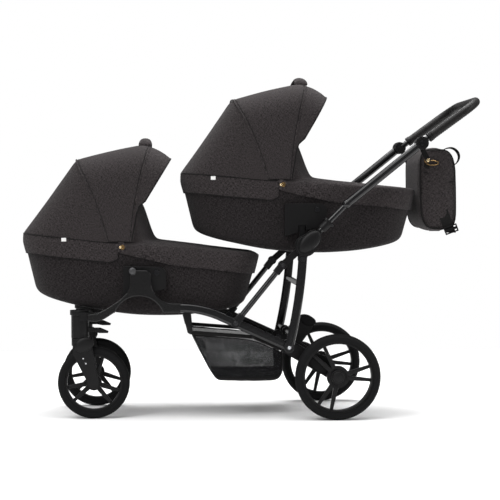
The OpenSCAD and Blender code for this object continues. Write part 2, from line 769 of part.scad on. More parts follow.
// Changing bag that hangs between the handle tubes
bag_front = hub[0] + 9;
bag_top = hub[1] - 12;
module bag_body() {
    function section(y, k) =
        let (c = [bag_front + bag_d / 2, bag_top - bag_h / 2])
        [for (i = [0:23]) let (a = 360 * i / 24, s = sin(a), t = cos(a))
            [c[0] + k * bag_d / 2 * sign(t) * abs(t) ^ 0.5 - 0.06 * k * bag_d * s, y,
             c[1] + k * bag_h / 2 * sign(s) * abs(s) ^ 0.45]];
    right_steps = [[0.2, 1], [0.38, 0.99], [0.47, 0.95], [0.5, 0.86]];
    steps = [for (i = [3:-1:0]) [-right_steps[i][0], right_steps[i][1]], each right_steps];
    rings = [for (s = steps) section(s[0] * bag_w, s[1])];
    n = len(rings);
    m = len(rings[0]);
    function p(i, j) = i * m + j % m;
    faces = concat(
        [for (i = [0:n - 2]) for (j = [0:m - 1])
            each quad(p(i, j), p(i + 1, j), p(i + 1, j + 1), p(i, j + 1))],
        [[for (j = [0:m - 1]) j]],
        [[for (j = [m - 1:-1:0]) p(n - 1, j)]]
    );
    color(cloth_charcoal) polyhedron([for (r = rings) each r], faces);
}

// Bag straps: the shoulder strap down both ends of the bag, and the hangers on the hubs' inner faces
hanger_y = bar_y - bar_d / 2 - face_gap;
hanger_low = [bag_front + 19, bag_top - 44];
module bag_strap() {
    y0 = bag_w / 2 + cloth_gap;
    a = [bag_front + 14, bag_top - 58];
    b = [bag_front + 0.48 * bag_d, bag_top - 0.25 * bag_h];
    c = [bag_front + 0.55 * bag_d, bag_top - 0.67 * bag_h];
    d = [bag_front + 0.84 * bag_d, bag_top - bag_h - 7];
    half = strap_w / 2;
    hanger_half = [8, 3];
    color(cloth_dark) pair() {
        plate(y0, y0 + apron_t) polygon([
            a + [0, 6], b + [half, 14], c + [half, 0], d + [half, 0],
            d - [half, 0], c - [half, 6], b - [half, 6], a - [0, 8]
        ]);
        plate(hanger_y - apron_t, hanger_y) {
            polygon([
                hub - hanger_half, hanger_low - hanger_half, hanger_low + hanger_half, hub + hanger_half
            ]);
            translate(hub) circle(r = 9);
            translate(hanger_low) circle(r = 9);
        }
    }
}

// Bag hooks: flat carabiners across from the bag's ends to its hangers
module bag_clips() {
    r = 3;
    height = 26;
    inner = bag_w / 2 + 0.3;
    outer = hanger_y - apron_t - 0.1;
    color(bronze) pair() translate([hanger_low[0] - r, (inner + outer) / 2, hanger_low[1]])
        rotate([0, 90, 0]) linear_extrude(2 * r) rotate(90) difference() {
            oval(outer - inner, height);
            oval(outer - inner - 4 * r, height - 4 * r);
        }
}

// Carrycot places: a point on the ground line of each tub under its adapter
rear_cot_o = [hinge[0] - rear_cot_setback, hinge[1] - rear_cot_drop];
front_cot_o = [arch_head_x, arch_top_z - front_cot_drop];

module in_cot(front) {
    o = front ? front_cot_o : rear_cot_o;
    translate([o[0], 0, o[1]]) rotate([0, front ? front_cot_tilt : 0, 0]) children();
}

// Heights along the carrycot, x from the adapter towards the foot
low_x = 64;
function rim_at(x) = rim_z - rim_slope * x;
function bottom_at(x) = x < low_x
    ? rocker_head * ((x - low_x) / (cot_head - cot_end_taper + low_x)) ^ 2
    : rocker_foot * ((x - low_x) / (cot_foot - cot_end_taper - low_x)) ^ 2;

// Right-hand half of a rounded plan outline, from the foot end to the head end
function half_plan(head, foot_end, hw, r) = [
    for (a = [0:15:90]) [foot_end - r + r * cos(a), hw - r + r * sin(a)],
    for (k = [1:6]) [foot_end - r + (r - foot_end - head + r) * k / 7, hw],
    for (a = [90:15:180]) [-head + r + r * cos(a), hw - r + r * sin(a)]
];

// Ring of the tub: u runs from 0 at the bottom to 1 at the rim, inset draws it inwards
function tub_ring(u, inset, lift) =
    let (end_in = cot_end_taper * (1 - u) + inset)
    let (side_in = cot_side_taper * (1 - u) + inset)
    let (r = cot_corner_r - min(inset, 60))
    let (half = half_plan(cot_head - end_in, cot_foot - end_in, cot_hw - side_in, r))
    let (up = [for (p = half) [p[0], p[1], bottom_at(p[0]) * (1 - u) + rim_at(p[0]) * u + lift]])
    [for (p = up) p, for (i = [len(up) - 1:-1:0]) [up[i][0], -up[i][1], up[i][2]]];

module cot_tub(front) {
    edge = 20;
    rings = [
        tub_ring(0, edge, 0), tub_ring(0.03, 6, 0), tub_ring(0.1, 0, 0), tub_ring(0.55, 0, 0),
        tub_ring(1, 0, 0), tub_ring(1, cot_wall, 0), tub_ring(0.3, cot_wall, cot_floor * 0.7),
        tub_ring(0, edge + cot_wall, cot_floor)
    ];
    color(cloth_charcoal) in_cot(front) loft(rings);
}

// Mattress with a crowned top and drawn-in sides
module cot_mattress(front) {
    inset = cot_wall + 22;
    base = cot_floor + cloth_gap;
    rings = [
        tub_ring(0, inset + 12, base), tub_ring(0, inset + 2, base + 10),
        tub_ring(0, inset, base + mattress_t * 0.5), tub_ring(0, inset + 3, base + mattress_t * 0.85),
        tub_ring(0, inset + 24, base + mattress_t), tub_ring(0, inset + 70, base + mattress_t + 5)
    ];
    color(cloth_dark) in_cot(front) loft(rings);
}

// Hard rim strip on the tub, with the lugs and pins of the hood pivot
hood_pin_r = 5;
hood_pivot = [-hood_pivot_x, rim_at(-hood_pivot_x) + hood_pivot_rise];
bow_t = 4;
front_bow_y = cot_hw - 6;
mid_bow_y = front_bow_y - bow_t - 2;
lug_out = mid_bow_y - bow_t / 2 - face_gap - 0.5;
lug_in = lug_out - 6;
rim_tilt = atan(rim_slope);
module rounded_plan(inset) {
    r = cot_corner_r - inset;
    x0 = -cot_head + inset;
    x1 = cot_foot - inset;
    hw = cot_hw - inset;
    translate([x0 + r, -hw]) square([x1 - x0 - 2 * r, 2 * hw]);
    translate([x0, r - hw]) square([x1 - x0, 2 * hw - 2 * r]);
    for (x = [x0 + r, x1 - r], y = [r - hw, hw - r]) translate([x, y]) circle(r = r);
}

module cot_rim(front) {
    lug_w = 24;
    lug_z = hood_pivot[1] - hood_pivot_rise + rim_strip_t / 2;
    color(black_plastic) in_cot(front) {
        translate([0, 0, rim_z]) rotate([0, rim_tilt, 0]) translate([0, 0, cloth_gap])
            linear_extrude(rim_strip_t - cloth_gap) difference() {
                rounded_plan(0.5);
                rounded_plan(cot_wall + 2);
            }
        pair() {
            translate([hood_pivot[0] - lug_w / 2, lug_in, lug_z])
                cube([lug_w, lug_out - lug_in, hood_pivot[1] + hood_pin_r + 3 - lug_z]);
            cross_pin(hood_pivot, hood_pin_r, lug_in, front_bow_y + bow_t / 2 + 0.2);
        }
    }
}

// Apron: one cloth from its upright wind flap over the foot end, with a skirt outside the tub
apron_gap = cloth_gap + 1.4;
flap_x = -78;
flap_rise = flap_h - 22;
skirt_step = 172;
function ramp(x) = max(0, min(1, x));
function skirt_z(x) = rim_at(x) - 16 - 31 * ramp((x - flap_x) / skirt_step)
    - 13 * ramp((x - flap_x - skirt_step) / (cot_foot - flap_x - skirt_step));
apron_hw = cot_hw + apron_gap;
apron_foot = cot_foot + apron_gap;
apron_r = cot_corner_r + apron_gap;
function apron_half(x) =
    let (d = max(0, x - (apron_foot - apron_r)))
    apron_hw - apron_r + sqrt(max(0, apron_r ^ 2 - d ^ 2));
// One row of the apron: columns run from the skirt's hem over the side to the middle
apron_spread = [1, 1, 0.93, 0.84, 0.45, 0];
apron_lean = [0, 0.055, 0.27, 0.41, 0.82, 1];
apron_crown = [0, -2.6, 2.4, 5.6, 8.4, 9.8];
apron_rise = [0, 0, 0, 0.77, 0.9, 1];
function apron_row(x0, lean, rise, w) =
    let (half = [for (k = [0:5])
        let (x = k == 0 ? x0 - 4 : x0 + lean * apron_lean[k])
        let (top = rim_at(x) + rim_strip_t + 4 + apron_crown[k] + rise * apron_rise[k])
        [x, apron_spread[k] * w, k == 0 ? skirt_z(x) : top]])
    [for (i = [0:5]) [half[i][0], -half[i][1], half[i][2]], for (i = [4:-1:0]) half[i]];
function apron_grid() =
    let (xf = apron_foot, r = apron_r, end = apron_row(xf, 0, 0, apron_half(xf)))
    [
        apron_row(flap_x + 6, 73, flap_rise, apron_half(0)),
        apron_row(flap_x + 26, 78, flap_rise / 2, apron_half(0)),
        apron_row(flap_x + 48, 81, 0, apron_half(0)),
        for (s = [0.25, 0.42, 0.57]) apron_row(s * cot_foot, 0, 0, apron_half(s * cot_foot)),
        for (a = [0:15:75]) let (x = xf - r + r * sin(a)) apron_row(x, 0, 0, apron_half(x)),
        end,
        for (s = [0.5, 1]) [for (i = [0:10]) let (k = min(i, 10 - i)) [
            xf + 2 * s, end[i][1] * (1 - s * [0, 0.03, 0.08, 0, 0, 0][k]),
            end[i][2] * (1 - s) + skirt_z(xf) * s - 2
        ]]
    ];
module cot_apron(front) {
    color(cloth_charcoal) in_cot(front) cloth(apron_grid(), apron_t);
}

// Side plates: moulded panels with a slot for the chassis tongue and a pocket for the release button
plate_out = tongue_y1 + 3;
plate_foot = 58;
plate_top = 168;
slot_top = 140;
cot_button = [52, 148];
cot_button_r = 9;
cot_button_travel = 3;
module cot_side_plates(front) {
    corner = 26;
    x0 = -60;
    x1 = 84;
    foot_rise = 37;
    slot_side = 3;
    notch_top = 94;
    wall_low = cot_hw - cot_side_taper * (1 - plate_foot / rim_at(x1)) + cloth_gap;
    wall_top = cot_hw - cot_side_taper * (1 - plate_top / rim_at(x1)) + cloth_gap;
    color(black_plastic) in_cot(front) pair() difference() {
        intersection() {
            plate(cot_hw - cot_side_taper, plate_out) {
                polygon([
                    [x0, plate_foot], [x1, plate_foot + foot_rise], [x1, plate_top - corner],
                    [x1 - corner, plate_top - corner], [x1 - corner, plate_top], [x0, plate_top]
                ]);
                translate([x1 - corner, plate_top - corner]) circle(r = corner);
            }
            translate([x0 - 1, 0, 0]) rotate([90, 0, 90]) linear_extrude(x1 - x0 + 2) polygon([
                [wall_low, plate_foot], [plate_out + 1, plate_foot], [plate_out + 1, plate_top],
                [wall_top, plate_top]
            ]);
        }
        translate([-tongue_w / 2 - slot_side, tongue_y0 - face_gap, plate_foot - 1])
            cube([tongue_w + 2 * slot_side, tongue_y1 - tongue_y0 + 2 * face_gap, slot_top - plate_foot + 1]);
        translate([-tongue_w / 2 - slot_side, tongue_y0 - face_gap, plate_foot - 1])
            cube([tongue_w + 2 * slot_side, plate_out - tongue_y0 + 2, notch_top - plate_foot + 1]);
        cross_pin(cot_button, cot_button_r + run_gap, plate_out - 8, plate_out + 1);
    }
}

module cot_button_at(front, side) {
    inner = plate_out - 8 + cot_button_travel + 0.5;
    color(steel) in_cot(front) at_side(side) {
        cross_pin(cot_button, cot_button_r, inner, plate_out + 2.5);
        cross_pin(cot_button, cot_button_r - 2, plate_out + 2.5, plate_out + 3.5);
    }
}

// Press studs that hold the corners of the apron
module cot_snaps(front) {
    stud = [-64, rim_at(-64) + 4];
    y = apron_hw + apron_t + face_gap;
    color(bronze) in_cot(front) pair() {
        cross_pin(stud, 8, y, y + 2.5);
        cross_pin(stud, 4.5, y + 2.5, y + 4);
    }
}

// Hood bow: flat strip bent into an arch, turning on the hood pivot
module bow_run(reach, y, corner) {
    h = y - corner;
    l = reach - corner;
    for (s = [left, right]) {
        translate([0, s * y, 0]) rotate([0, 90, 0]) linear_extrude(l) children();
        translate([l, s * h, 0]) rotate(s > 0 ? 0 : -90) rotate_extrude(angle = 90)
            translate([corner, 0]) rotate(90) children();
    }
    translate([reach, h, 0]) rotate([90, 0, 0]) linear_extrude(2 * h) rotate(90) children();
}

module hood_bow(front, angle, reach, y) {
    bow_w = 12;
    eye_r = 11;
    eye_t = bow_t + 0.6;
    color(black_plastic) in_cot(front) translate([hood_pivot[0], 0, hood_pivot[1]]) difference() {
        union() {
            rotate([0, -angle, 0]) bow_run(reach, y, cot_corner_r - 10) square([bow_w, bow_t], center = true);
            pair() cross_pin([0, 0], eye_r, y - eye_t / 2, y + eye_t / 2);
        }
        pair() cross_pin([0, 0], hood_pin_r + run_gap, 0, cot_hw);
    }
}

bow_gap = hood_t + bow_t / 2 + 3;
module hood_front_bow(front) {
    hood_bow(front, front_bow_angle, front_bow_r - bow_gap, front_bow_y);
}

module hood_mid_bow(front) {
    hood_bow(front, mid_bow_angle, mid_bow_r - bow_gap, mid_bow_y);
}

// Hood cover: rows of arches from the rim at the head, over the bows, to the visor's edge
hood_hw = cot_hw + cloth_gap + 1;
function chord(p, q, n) = [for (k = [0:n - 1])
    let (s = k / n, d = (q - p) / norm(q - p))
    p + (q - p) * s + hood_bulge * sin(180 * s) * [d[1], -d[0]]];
function hood_arch(top) =
    let (d = top - hood_pivot, reach = norm(d), dir = d / reach, c = cot_corner_r)
    let (half = [
        [12, hood_hw], [(reach - c) * 0.5, hood_hw + 1], [reach - c, hood_hw],
        for (a = [15:15:90]) [reach - c + c * sin(a), hood_hw - c + c * cos(a)],
        [reach + 2, (hood_hw - c) * 0.5]
    ])
    [
        for (p = half) [hood_pivot[0] + dir[0] * p[0], p[1], hood_pivot[1] + dir[1] * p[0]],
        [hood_pivot[0] + dir[0] * (reach + 3), 0, hood_pivot[1] + dir[1] * (reach + 3)],
        for (i = [len(half) - 1:-1:0])
            [hood_pivot[0] + dir[0] * half[i][0], -half[i][1], hood_pivot[1] + dir[1] * half[i][0]]
    ];
module hood_cover(front) {
    rear_top = [-cot_head - cloth_gap - 2, rim_at(-cot_head) + 18];
    mid_top = hood_pivot + mid_bow_r * ray(mid_bow_angle);
    front_top = hood_pivot + front_bow_r * ray(front_bow_angle);
    tip = hood_pivot + visor_r * ray(visor_angle);
    tops = [
        each chord(tip, front_top, 3), each chord(front_top, mid_top, 4), each chord(mid_top, rear_top, 6),
        rear_top
    ];
    function hem_drop(x) = hood_hem * min(1, max(0, (hood_pivot[0] - 10 - x) / 60));
    hem = [for (p = hood_arch(rear_top)) [p[0], p[1], p[2] - hem_drop(p[0])]];
    color(cloth_charcoal) in_cot(front) cloth([for (t = tops) hood_arch(t), hem], hood_t);
}

// Brake pedal that hangs on the lower crossbar
module brake_pedal() {
    c = [leg_x(lower_crossbar_z), lower_crossbar_z];
    half = 46;
    boss_r = crossbar_d / 2 + 6;
    color(black_plastic) difference() {
        union() {
            for (y = [-half, half - 14]) cross_pin(c, boss_r, y, y + 14);
            plate(-half, half) polygon([
                c + [11, 8], c + [42, 38], c + [92, 18], c + [88, 8],
                c + [52, -40], c + [36, -52], c + [13, -6]
            ]);
        }
        cross_pin(c, crossbar_d / 2 + run_gap, -half - 1, half + 1);
    }
}

// Swivel fork: stem, crown and two legs that hold the front axle
fork_gap = 4;
fork_leg_t = 10;
crown_low = 2 * front_wheel_r + 4;
fork_in = front_tyre_w / 2 + fork_gap;
fork_out = fork_in + fork_leg_t;
module fork(side) {
    leg_r = 18;
    crown_top = column_z - face_gap;
    a = front_axle_c;
    color(black_plastic) at_side(side) translate([0, swivel_y, 0]) {
        translate([swivel_x, 0, crown_low]) cylinder(r = stem_r, h = stem_top - crown_low);
        translate([swivel_x, 0, crown_low]) cylinder(r = column_r - 1, h = crown_top - crown_low);
        translate([swivel_x - 20, -fork_out, crown_low]) cube([56, 2 * fork_out, crown_top - crown_low - 2]);
        for (y = [-fork_out, fork_in]) plate(y, y + fork_leg_t) {
            translate(a) circle(r = leg_r);
            polygon([
                [swivel_x - 24, crown_top - 2], [swivel_x + 42, crown_top - 2],
                [swivel_x + 42, crown_low - 6], a + [leg_r - 1, 4],
                a + [-leg_r + 1, -4], [swivel_x - 24, crown_low - 26]
            ]);
        }
        cross_pin(a, front_axle_d / 2, -fork_in - 1, fork_in + 1);
    }
}

// Lever that locks a swivel straight ahead
module swivel_lock(side) {
    w = lock_half_w - face_gap;
    p = lock_pivot;
    color(black_plastic) at_side(side) translate([0, swivel_y, 0]) {
        plate(-w, w) {
            translate(p) circle(r = 6);
            polygon([p + [-2, -6], p + [-2, 6], p + [30, 6], p + [58, -6], p + [56, -12], p + [28, -12]]);
        }
        cross_pin(p, lock_pin_r, -lock_half_w - 4, lock_half_w + 4);
    }
}

// Foam tyre with a crowned tread and two grooves, about the Y axis
module tyre(r, t, w) {
    crown_r = 0.62 * w;
    groove = 2;
    rotate([90, 0, 0]) rotate_extrude() difference() {
        intersection() {
            translate([r - t, -w / 2]) square([t, w]);
            translate([r - crown_r, 0]) circle(r = crown_r);
        }
        for (y = [-w / 5, w / 5])
            translate([r - groove - 1.5, y - groove / 2]) square([2 * groove + 2, groove]);
    }
}

// Wheel centre with paired spokes, hub flange, barrel and, on the rear wheels, a domed cap
module wheel_rim(r, w, flange_r, hub_in, hub_out, bore_r, bore_end, cap_h, first_angle, half_angle) {
    inner = r - rim_t;
    barrel_r = bore_r + 9;
    cap_r = flange_r * 0.62;
    difference() {
        union() {
            rotate([90, 0, 0]) rotate_extrude() difference() {
                translate([inner, -w * 0.36]) square([rim_t, w * 0.72]);
                translate([r - 2, -w * 0.2]) square([3, w * 0.4]);
            }
            plate(-6, 6) {
                circle(r = flange_r);
                for (k = [0:spoke_pairs - 1], s = [-1, 1])
                    rotate(first_angle + 360 * k / spoke_pairs + s * half_angle)
                        polygon([[flange_r - 8, -6], [inner + 3, -3.2], [inner + 3, 3.2], [flange_r - 8, 6]]);
            }
            cross_pin([0, 0], barrel_r, -hub_in, hub_out);
            if (cap_h > 0) {
                cross_pin([0, 0], cap_r, 6, hub_out + cap_h * 0.5);
                cross_pin([0, 0], cap_r - 4, hub_out + cap_h * 0.5, hub_out + cap_h);
            }
        }
        cross_pin([0, 0], bore_r, -hub_in - 1, bore_end);
    }
}

module at_rear_wheel(side) {
    at_side(side) translate([rear_axle_c[0], rear_wheel_y, rear_axle_c[1]]) children();
}

module at_front_wheel(side) {
    at_side(side) translate([front_axle_c[0], swivel_y, front_axle_c[1]]) children();
}

module rear_tyre(side) {
    color(foam_black) at_rear_wheel(side) tyre(rear_wheel_r, rear_tyre_t, rear_tyre_w);
}

module rear_rim(side) {
    color(black_plastic) at_rear_wheel(side)
        wheel_rim(rear_wheel_r - rear_tyre_t - run_gap, rear_tyre_w, 0.26 * rear_wheel_r, rear_hub_half,
            rear_tyre_w / 2 - 4, rear_axle_d / 2 + run_gap, 14, 6, 6.5, spoke_half_angle);
}

module front_tyre(side) {
    color(foam_black) at_front_wheel(side) tyre(front_wheel_r, front_tyre_t, front_tyre_w);
}

module front_rim(side) {
    half = fork_in - face_gap;
    color(black_plastic) at_front_wheel(side)
        wheel_rim(front_wheel_r - front_tyre_t - run_gap, front_tyre_w, 0.22 * front_wheel_r, half, half,
            front_axle_d / 2 + run_gap, half + 1, 0, 86, front_spoke_half_angle);
}

base_arm(left);  // base_arm_left
base_arm(right);  // base_arm_right
front_arch(left);  // front_arch_left
front_arch(right);  // front_arch_right
diagonal_tubes();
rear_legs();
rear_knuckles();
hinge_housings();
leg_crossbars();
rear_axle();
front_crossbar();
swivel_columns();
basket_frame();
basket_mesh();
frame_rivets();
handle_tubes();
hub_shells();
handle_bar();
handle_grip();
hub_button(left);  // hub_button_left
hub_button(right);  // hub_button_right
fold_latches();
bag_body();
bag_strap();
bag_clips();
cot_tub(false);  // rear_cot_tub
cot_mattress(false);  // rear_cot_mattress
cot_rim(false);  // rear_cot_rim
cot_apron(false);  // rear_cot_apron
cot_side_plates(false);  // rear_cot_side_plates
cot_snaps(false);  // rear_cot_snaps
hood_front_bow(false);  // rear_hood_front_bow
hood_mid_bow(false);  // rear_hood_mid_bow
hood_cover(false);  // rear_hood_cover
cot_tub(true);  // front_cot_tub
cot_mattress(true);  // front_cot_mattress
cot_rim(true);  // front_cot_rim
cot_apron(true);  // front_cot_apron
cot_side_plates(true);  // front_cot_side_plates
cot_snaps(true);  // front_cot_snaps
hood_front_bow(true);  // front_hood_front_bow
hood_mid_bow(true);  // front_hood_mid_bow
hood_cover(true);  // front_hood_cover
cot_button_at(false, left);  // rear_cot_button_left
cot_button_at(false, right);  // rear_cot_button_right
cot_button_at(true, left);  // front_cot_button_left
cot_button_at(true, right);  // front_cot_button_right
brake_pedal();
fork(left);  // fork_left
fork(right);  // fork_right
swivel_lock(left);  // swivel_lock_left
swivel_lock(right);  // swivel_lock_right
rear_tyre(left);  // rear_tyre_left
rear_rim(left);  // rear_rim_left
rear_tyre(right);  // rear_tyre_right
rear_rim(right);  // rear_rim_right
front_tyre(left);  // front_tyre_left
front_rim(left);  // front_rim_left
front_tyre(right);  // front_tyre_right
front_rim(right);  // front_rim_right
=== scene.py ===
# %% [markdown]
# # A tandem twin pram
# Two soft carrycots stand on a black folding chassis. The CAD parts give every hard piece its exact
# place, so here we give them finishes, and sew the cloth pieces that CAD can only stand in for.
# Lengths are metres. +X points to the pushing handle and +Z up.

# %% Load the frame
import json
import math

import bpy
from mathutils import Matrix, Vector, noise


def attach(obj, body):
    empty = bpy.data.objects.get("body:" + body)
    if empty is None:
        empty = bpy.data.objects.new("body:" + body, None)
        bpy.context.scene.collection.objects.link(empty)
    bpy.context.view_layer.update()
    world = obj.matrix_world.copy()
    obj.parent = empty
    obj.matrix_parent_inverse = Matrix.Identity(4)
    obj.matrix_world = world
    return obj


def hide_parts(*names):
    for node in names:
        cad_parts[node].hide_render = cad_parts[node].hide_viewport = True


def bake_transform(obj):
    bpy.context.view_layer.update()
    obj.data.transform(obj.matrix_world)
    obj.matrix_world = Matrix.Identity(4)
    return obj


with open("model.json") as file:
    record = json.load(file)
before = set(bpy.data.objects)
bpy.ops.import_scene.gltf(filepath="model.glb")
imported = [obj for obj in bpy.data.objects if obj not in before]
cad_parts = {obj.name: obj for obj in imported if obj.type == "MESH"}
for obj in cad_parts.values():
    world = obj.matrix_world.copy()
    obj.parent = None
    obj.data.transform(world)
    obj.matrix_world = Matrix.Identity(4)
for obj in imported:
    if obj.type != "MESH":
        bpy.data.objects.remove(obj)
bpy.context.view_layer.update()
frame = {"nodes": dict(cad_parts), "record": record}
bpy.ops.object.select_all(action="DESELECT")

# %% [markdown]
# ## Tools for cloth
# A sheet of cloth is a grid of points. We keep the length of each thread in the UV map, in metres, so
# the weave has the same size on every piece. Solidify gives the sheet its thickness and Subdivision
# Surface rounds its folds and hems.

# %% Cloth tools
def running_length(row):
    """Distance of each point along a row, measured from the row's middle."""
    out = [0.0]
    for a, b in zip(row, row[1:]):
        out.append(out[-1] + (Vector(b) - Vector(a)).length)
    return [d - out[-1] / 2 for d in out]


def cloth_grid(name, rows, ring=False):
    """A quad mesh over rows of points; ring=True joins each row's end to its start."""
    wide = len(rows[0])
    steps = wide if ring else wide - 1
    faces = [
        (i * wide + j, i * wide + (j + 1) % wide, (i + 1) * wide + (j + 1) % wide, (i + 1) * wide + j)
        for i in range(len(rows) - 1)
        for j in range(steps)
    ]
    mesh = bpy.data.meshes.new(name)
    mesh.from_pydata([tuple(p) for row in rows for p in row], [], faces)
    across = [running_length(row + row[:1] if ring else row) for row in rows]
    down = running_length([row[wide // 2] for row in rows])
    uv = mesh.uv_layers.new(name="cloth").data
    corners = [
        (across[a][b], down[a])
        for i in range(len(rows) - 1)
        for j in range(steps)
        for a, b in ((i, j), (i, j + 1), (i + 1, j + 1), (i + 1, j))
    ]
    for loop, place in zip(uv, corners):
        loop.uv = place
    obj = bpy.data.objects.new(name, mesh)
    bpy.context.collection.objects.link(obj)
    return obj


def apply_modifier(obj, kind, **settings):
    """Adds a modifier and applies it straight away."""
    modifier = obj.modifiers.new(kind, kind)
    for key, value in settings.items():
        setattr(modifier, key, value)
    bpy.context.view_layer.objects.active = obj
    bpy.ops.object.modifier_apply(modifier=modifier.name)


def sew(obj, thickness, levels=2):
    """Gives a sheet its thickness and rounds it."""
    apply_modifier(obj, "SOLIDIFY", thickness=thickness, offset=0)
    apply_modifier(obj, "SUBSURF", levels=levels, render_levels=levels)
    obj.data.shade_smooth()


def ripple(obj, depth, size, seed=0.0):
    """Small soft unevenness, as hand-sewn cloth has."""
    shift = Vector((seed, seed * 1.7, seed * 0.6))
    moves = [v.normal * depth * noise.noise(v.co / size + shift) for v in obj.data.vertices]
    for v, move in zip(obj.data.vertices, moves):
        v.co += move


print("cloth tools are ready")

# %% [markdown]
# ## Tools for trims
# Piping is a round cord in a folded strip: a curve with a round bevel, turned into a mesh. A row of
# stitches is many short spindles along a path, all in one mesh.

# %% Trim tools
def select_only(obj):
    """Makes an object the active one and the only one that is selected."""
    bpy.ops.object.select_all(action="DESELECT")
    obj.select_set(True)
    bpy.context.view_layer.objects.active = obj


def piping(name, path, radius, closed=False):
    """A round cord along a path."""
    curve = bpy.data.curves.new(name, "CURVE")
    curve.dimensions = "3D"
    curve.bevel_depth = radius
    curve.bevel_resolution = 2
    curve.use_fill_caps = True
    spline = curve.splines.new("POLY")
    spline.points.add(len(path) - 1)
    spline.use_cyclic_u = closed
    for point, place in zip(spline.points, path):
        point.co = (*place, 1)
    obj = bpy.data.objects.new(name, curve)
    bpy.context.collection.objects.link(obj)
    select_only(obj)
    bpy.ops.object.convert(target="MESH")
    obj.data.shade_smooth()
    return obj


def resample(path, step):
    """Points at an even step along a path, with the direction at each."""
    out = []
    left = 0.0
    for a, b in zip(path, path[1:]):
        a, b = Vector(a), Vector(b)
        length = (b - a).length
        while left < length:
            out.append((a.lerp(b, left / length), (b - a).normalized()))
            left += step
        left -= length
    return out


def stitches(name, path, length=0.006, step=0.009, radius=0.0007):
    """A row of stitches along a path."""
    verts, faces = [], []
    for centre, along in resample(path, step):
        side = along.orthogonal().normalized()
        other = along.cross(side)
        base = len(verts)
        verts += [centre - along * length / 2, centre + along * length / 2]
        for k in range(6):
            turn = math.tau * k / 6
            verts.append(centre + radius * (side * math.cos(turn) + other * math.sin(turn)))
        for k in range(6):
            a, b = base + 2 + k, base + 2 + (k + 1) % 6
            faces += [(base, b, a), (base + 1, a, b)]
    mesh = bpy.data.meshes.new(name)
    mesh.from_pydata(verts, [], faces)
    mesh.shade_smooth()
    obj = bpy.data.objects.new(name, mesh)
    bpy.context.collection.objects.link(obj)
    return obj


print("trim tools are ready")

# %% [markdown]
# ## Materials
# All finishes are procedural. A shader's plain numbers sit on its own sockets, and noise textures add
# what makes a surface read as real: mixed yarns, a moulded grain, a leather crease.

# %% Material tools
def new_material(name, color, rough, **sockets):
    """A Principled material; further sockets by name, with _ for a space."""
    mat = bpy.data.materials.new(name)
    mat.use_nodes = True
    shader = mat.node_tree.nodes["Principled BSDF"]
    shader.inputs["Base Color"].default_value = (*color, 1)
    shader.inputs["Roughness"].default_value = rough
    for key, value in sockets.items():
        shader.inputs[key.replace("_", " ")].default_value = value
    return mat, mat.node_tree, shader


def node(tree, kind, **values):
    """A shader node; values name its sockets or its properties."""
    made = tree.nodes.new(kind)
    for key, value in values.items():
        socket = made.inputs.get(key.replace("_", " "))
        if socket is not None:
            socket.default_value = value
        else:
            setattr(made, key, value)
    return made


def coords(tree, kind, scale):
    """Texture coordinates times a scale in repeats per metre."""
    source = node(tree, "ShaderNodeTexCoord")
    mapping = node(tree, "ShaderNodeMapping", Scale=scale)
    tree.links.new(source.outputs[kind], mapping.inputs["Vector"])
    return mapping.outputs["Vector"]


def noise_at(tree, vector, detail=4.0, rough=0.6):
    """Noise texture that fills one unit of the given coordinates."""
    made = node(tree, "ShaderNodeTexNoise", Scale=1.0, Detail=detail, Roughness=rough)
    tree.links.new(vector, made.inputs["Vector"])
    return made.outputs["Fac"]


def tint(tree, shader, fac, dark, pale, low=0.3, high=0.7):
    """Blends two colours over a factor into the shader's base colour."""
    made = node(tree, "ShaderNodeValToRGB")
    for element, place, color in zip(made.color_ramp.elements, (low, high), (dark, pale)):
        element.position = place
        element.color = (*color, 1)
    tree.links.new(fac, made.inputs["Fac"])
    tree.links.new(made.outputs["Color"], shader.inputs["Base Color"])


def calculate(tree, operation, first, second=None):
    """A maths node; each of its inputs is another node's output or a plain number."""
    made = node(tree, "ShaderNodeMath", operation=operation)
    for socket, value in zip(made.inputs, (first, second)):
        if isinstance(value, float):
            socket.default_value = value
        elif value is not None:
            tree.links.new(value, socket)
    return made.outputs["Value"]


def bump(tree, shader, height, strength, distance):
    """Bump map into the shader's normal."""
    made = node(tree, "ShaderNodeBump", Strength=strength, Distance=distance)
    tree.links.new(height, made.inputs["Height"])
    tree.links.new(made.outputs["Normal"], shader.inputs["Normal"])
    return made


def weave_height(tree, kind, pitch):
    """Height of a plain weave: two crossed bands of yarn."""
    source = node(tree, "ShaderNodeTexCoord")
    bands = []
    for direction in ("X", "Y"):
        band = node(tree, "ShaderNodeTexWave", Scale=math.pi / 10 / pitch, bands_direction=direction)
        tree.links.new(source.outputs[kind], band.inputs["Vector"])
        bands.append(band.outputs["Fac"])
    return calculate(tree, "MULTIPLY", *bands)


print("material tools are ready")

# %% [markdown]
# ### Cloth finishes
# The carrycots wear a charcoal melange: yarns of nearly black and of warm grey, spun together. Seen
# close, short pale dashes run both along and across, so two stretched noises are crossed. The tub's
# outer cloth is the same weave with darker yarns, as painted shade on its upright sides. Inside, the tub
# has a plain grey lining and the mattress a pale jersey.

# %% Cloth finishes
def melange(name, kind, dark, pale, pitch=0.0011):
    mat, tree, shader = new_material(name, dark, 0.92, Sheen_Weight=0.05, Sheen_Roughness=0.5,
                                     Specular_IOR_Level=0.08)
    along = noise_at(tree, coords(tree, kind, (120, 780, 120)), 3.0, 0.7)
    across = noise_at(tree, coords(tree, kind, (780, 120, 780)), 3.0, 0.7)
    mixed = calculate(tree, "MULTIPLY", calculate(tree, "ADD", along, across), 0.5)
    tint(tree, shader, mixed, dark, pale, 0.44, 0.57)
    bump(tree, shader, weave_height(tree, kind, pitch), 0.5, 0.0006)
    return mat


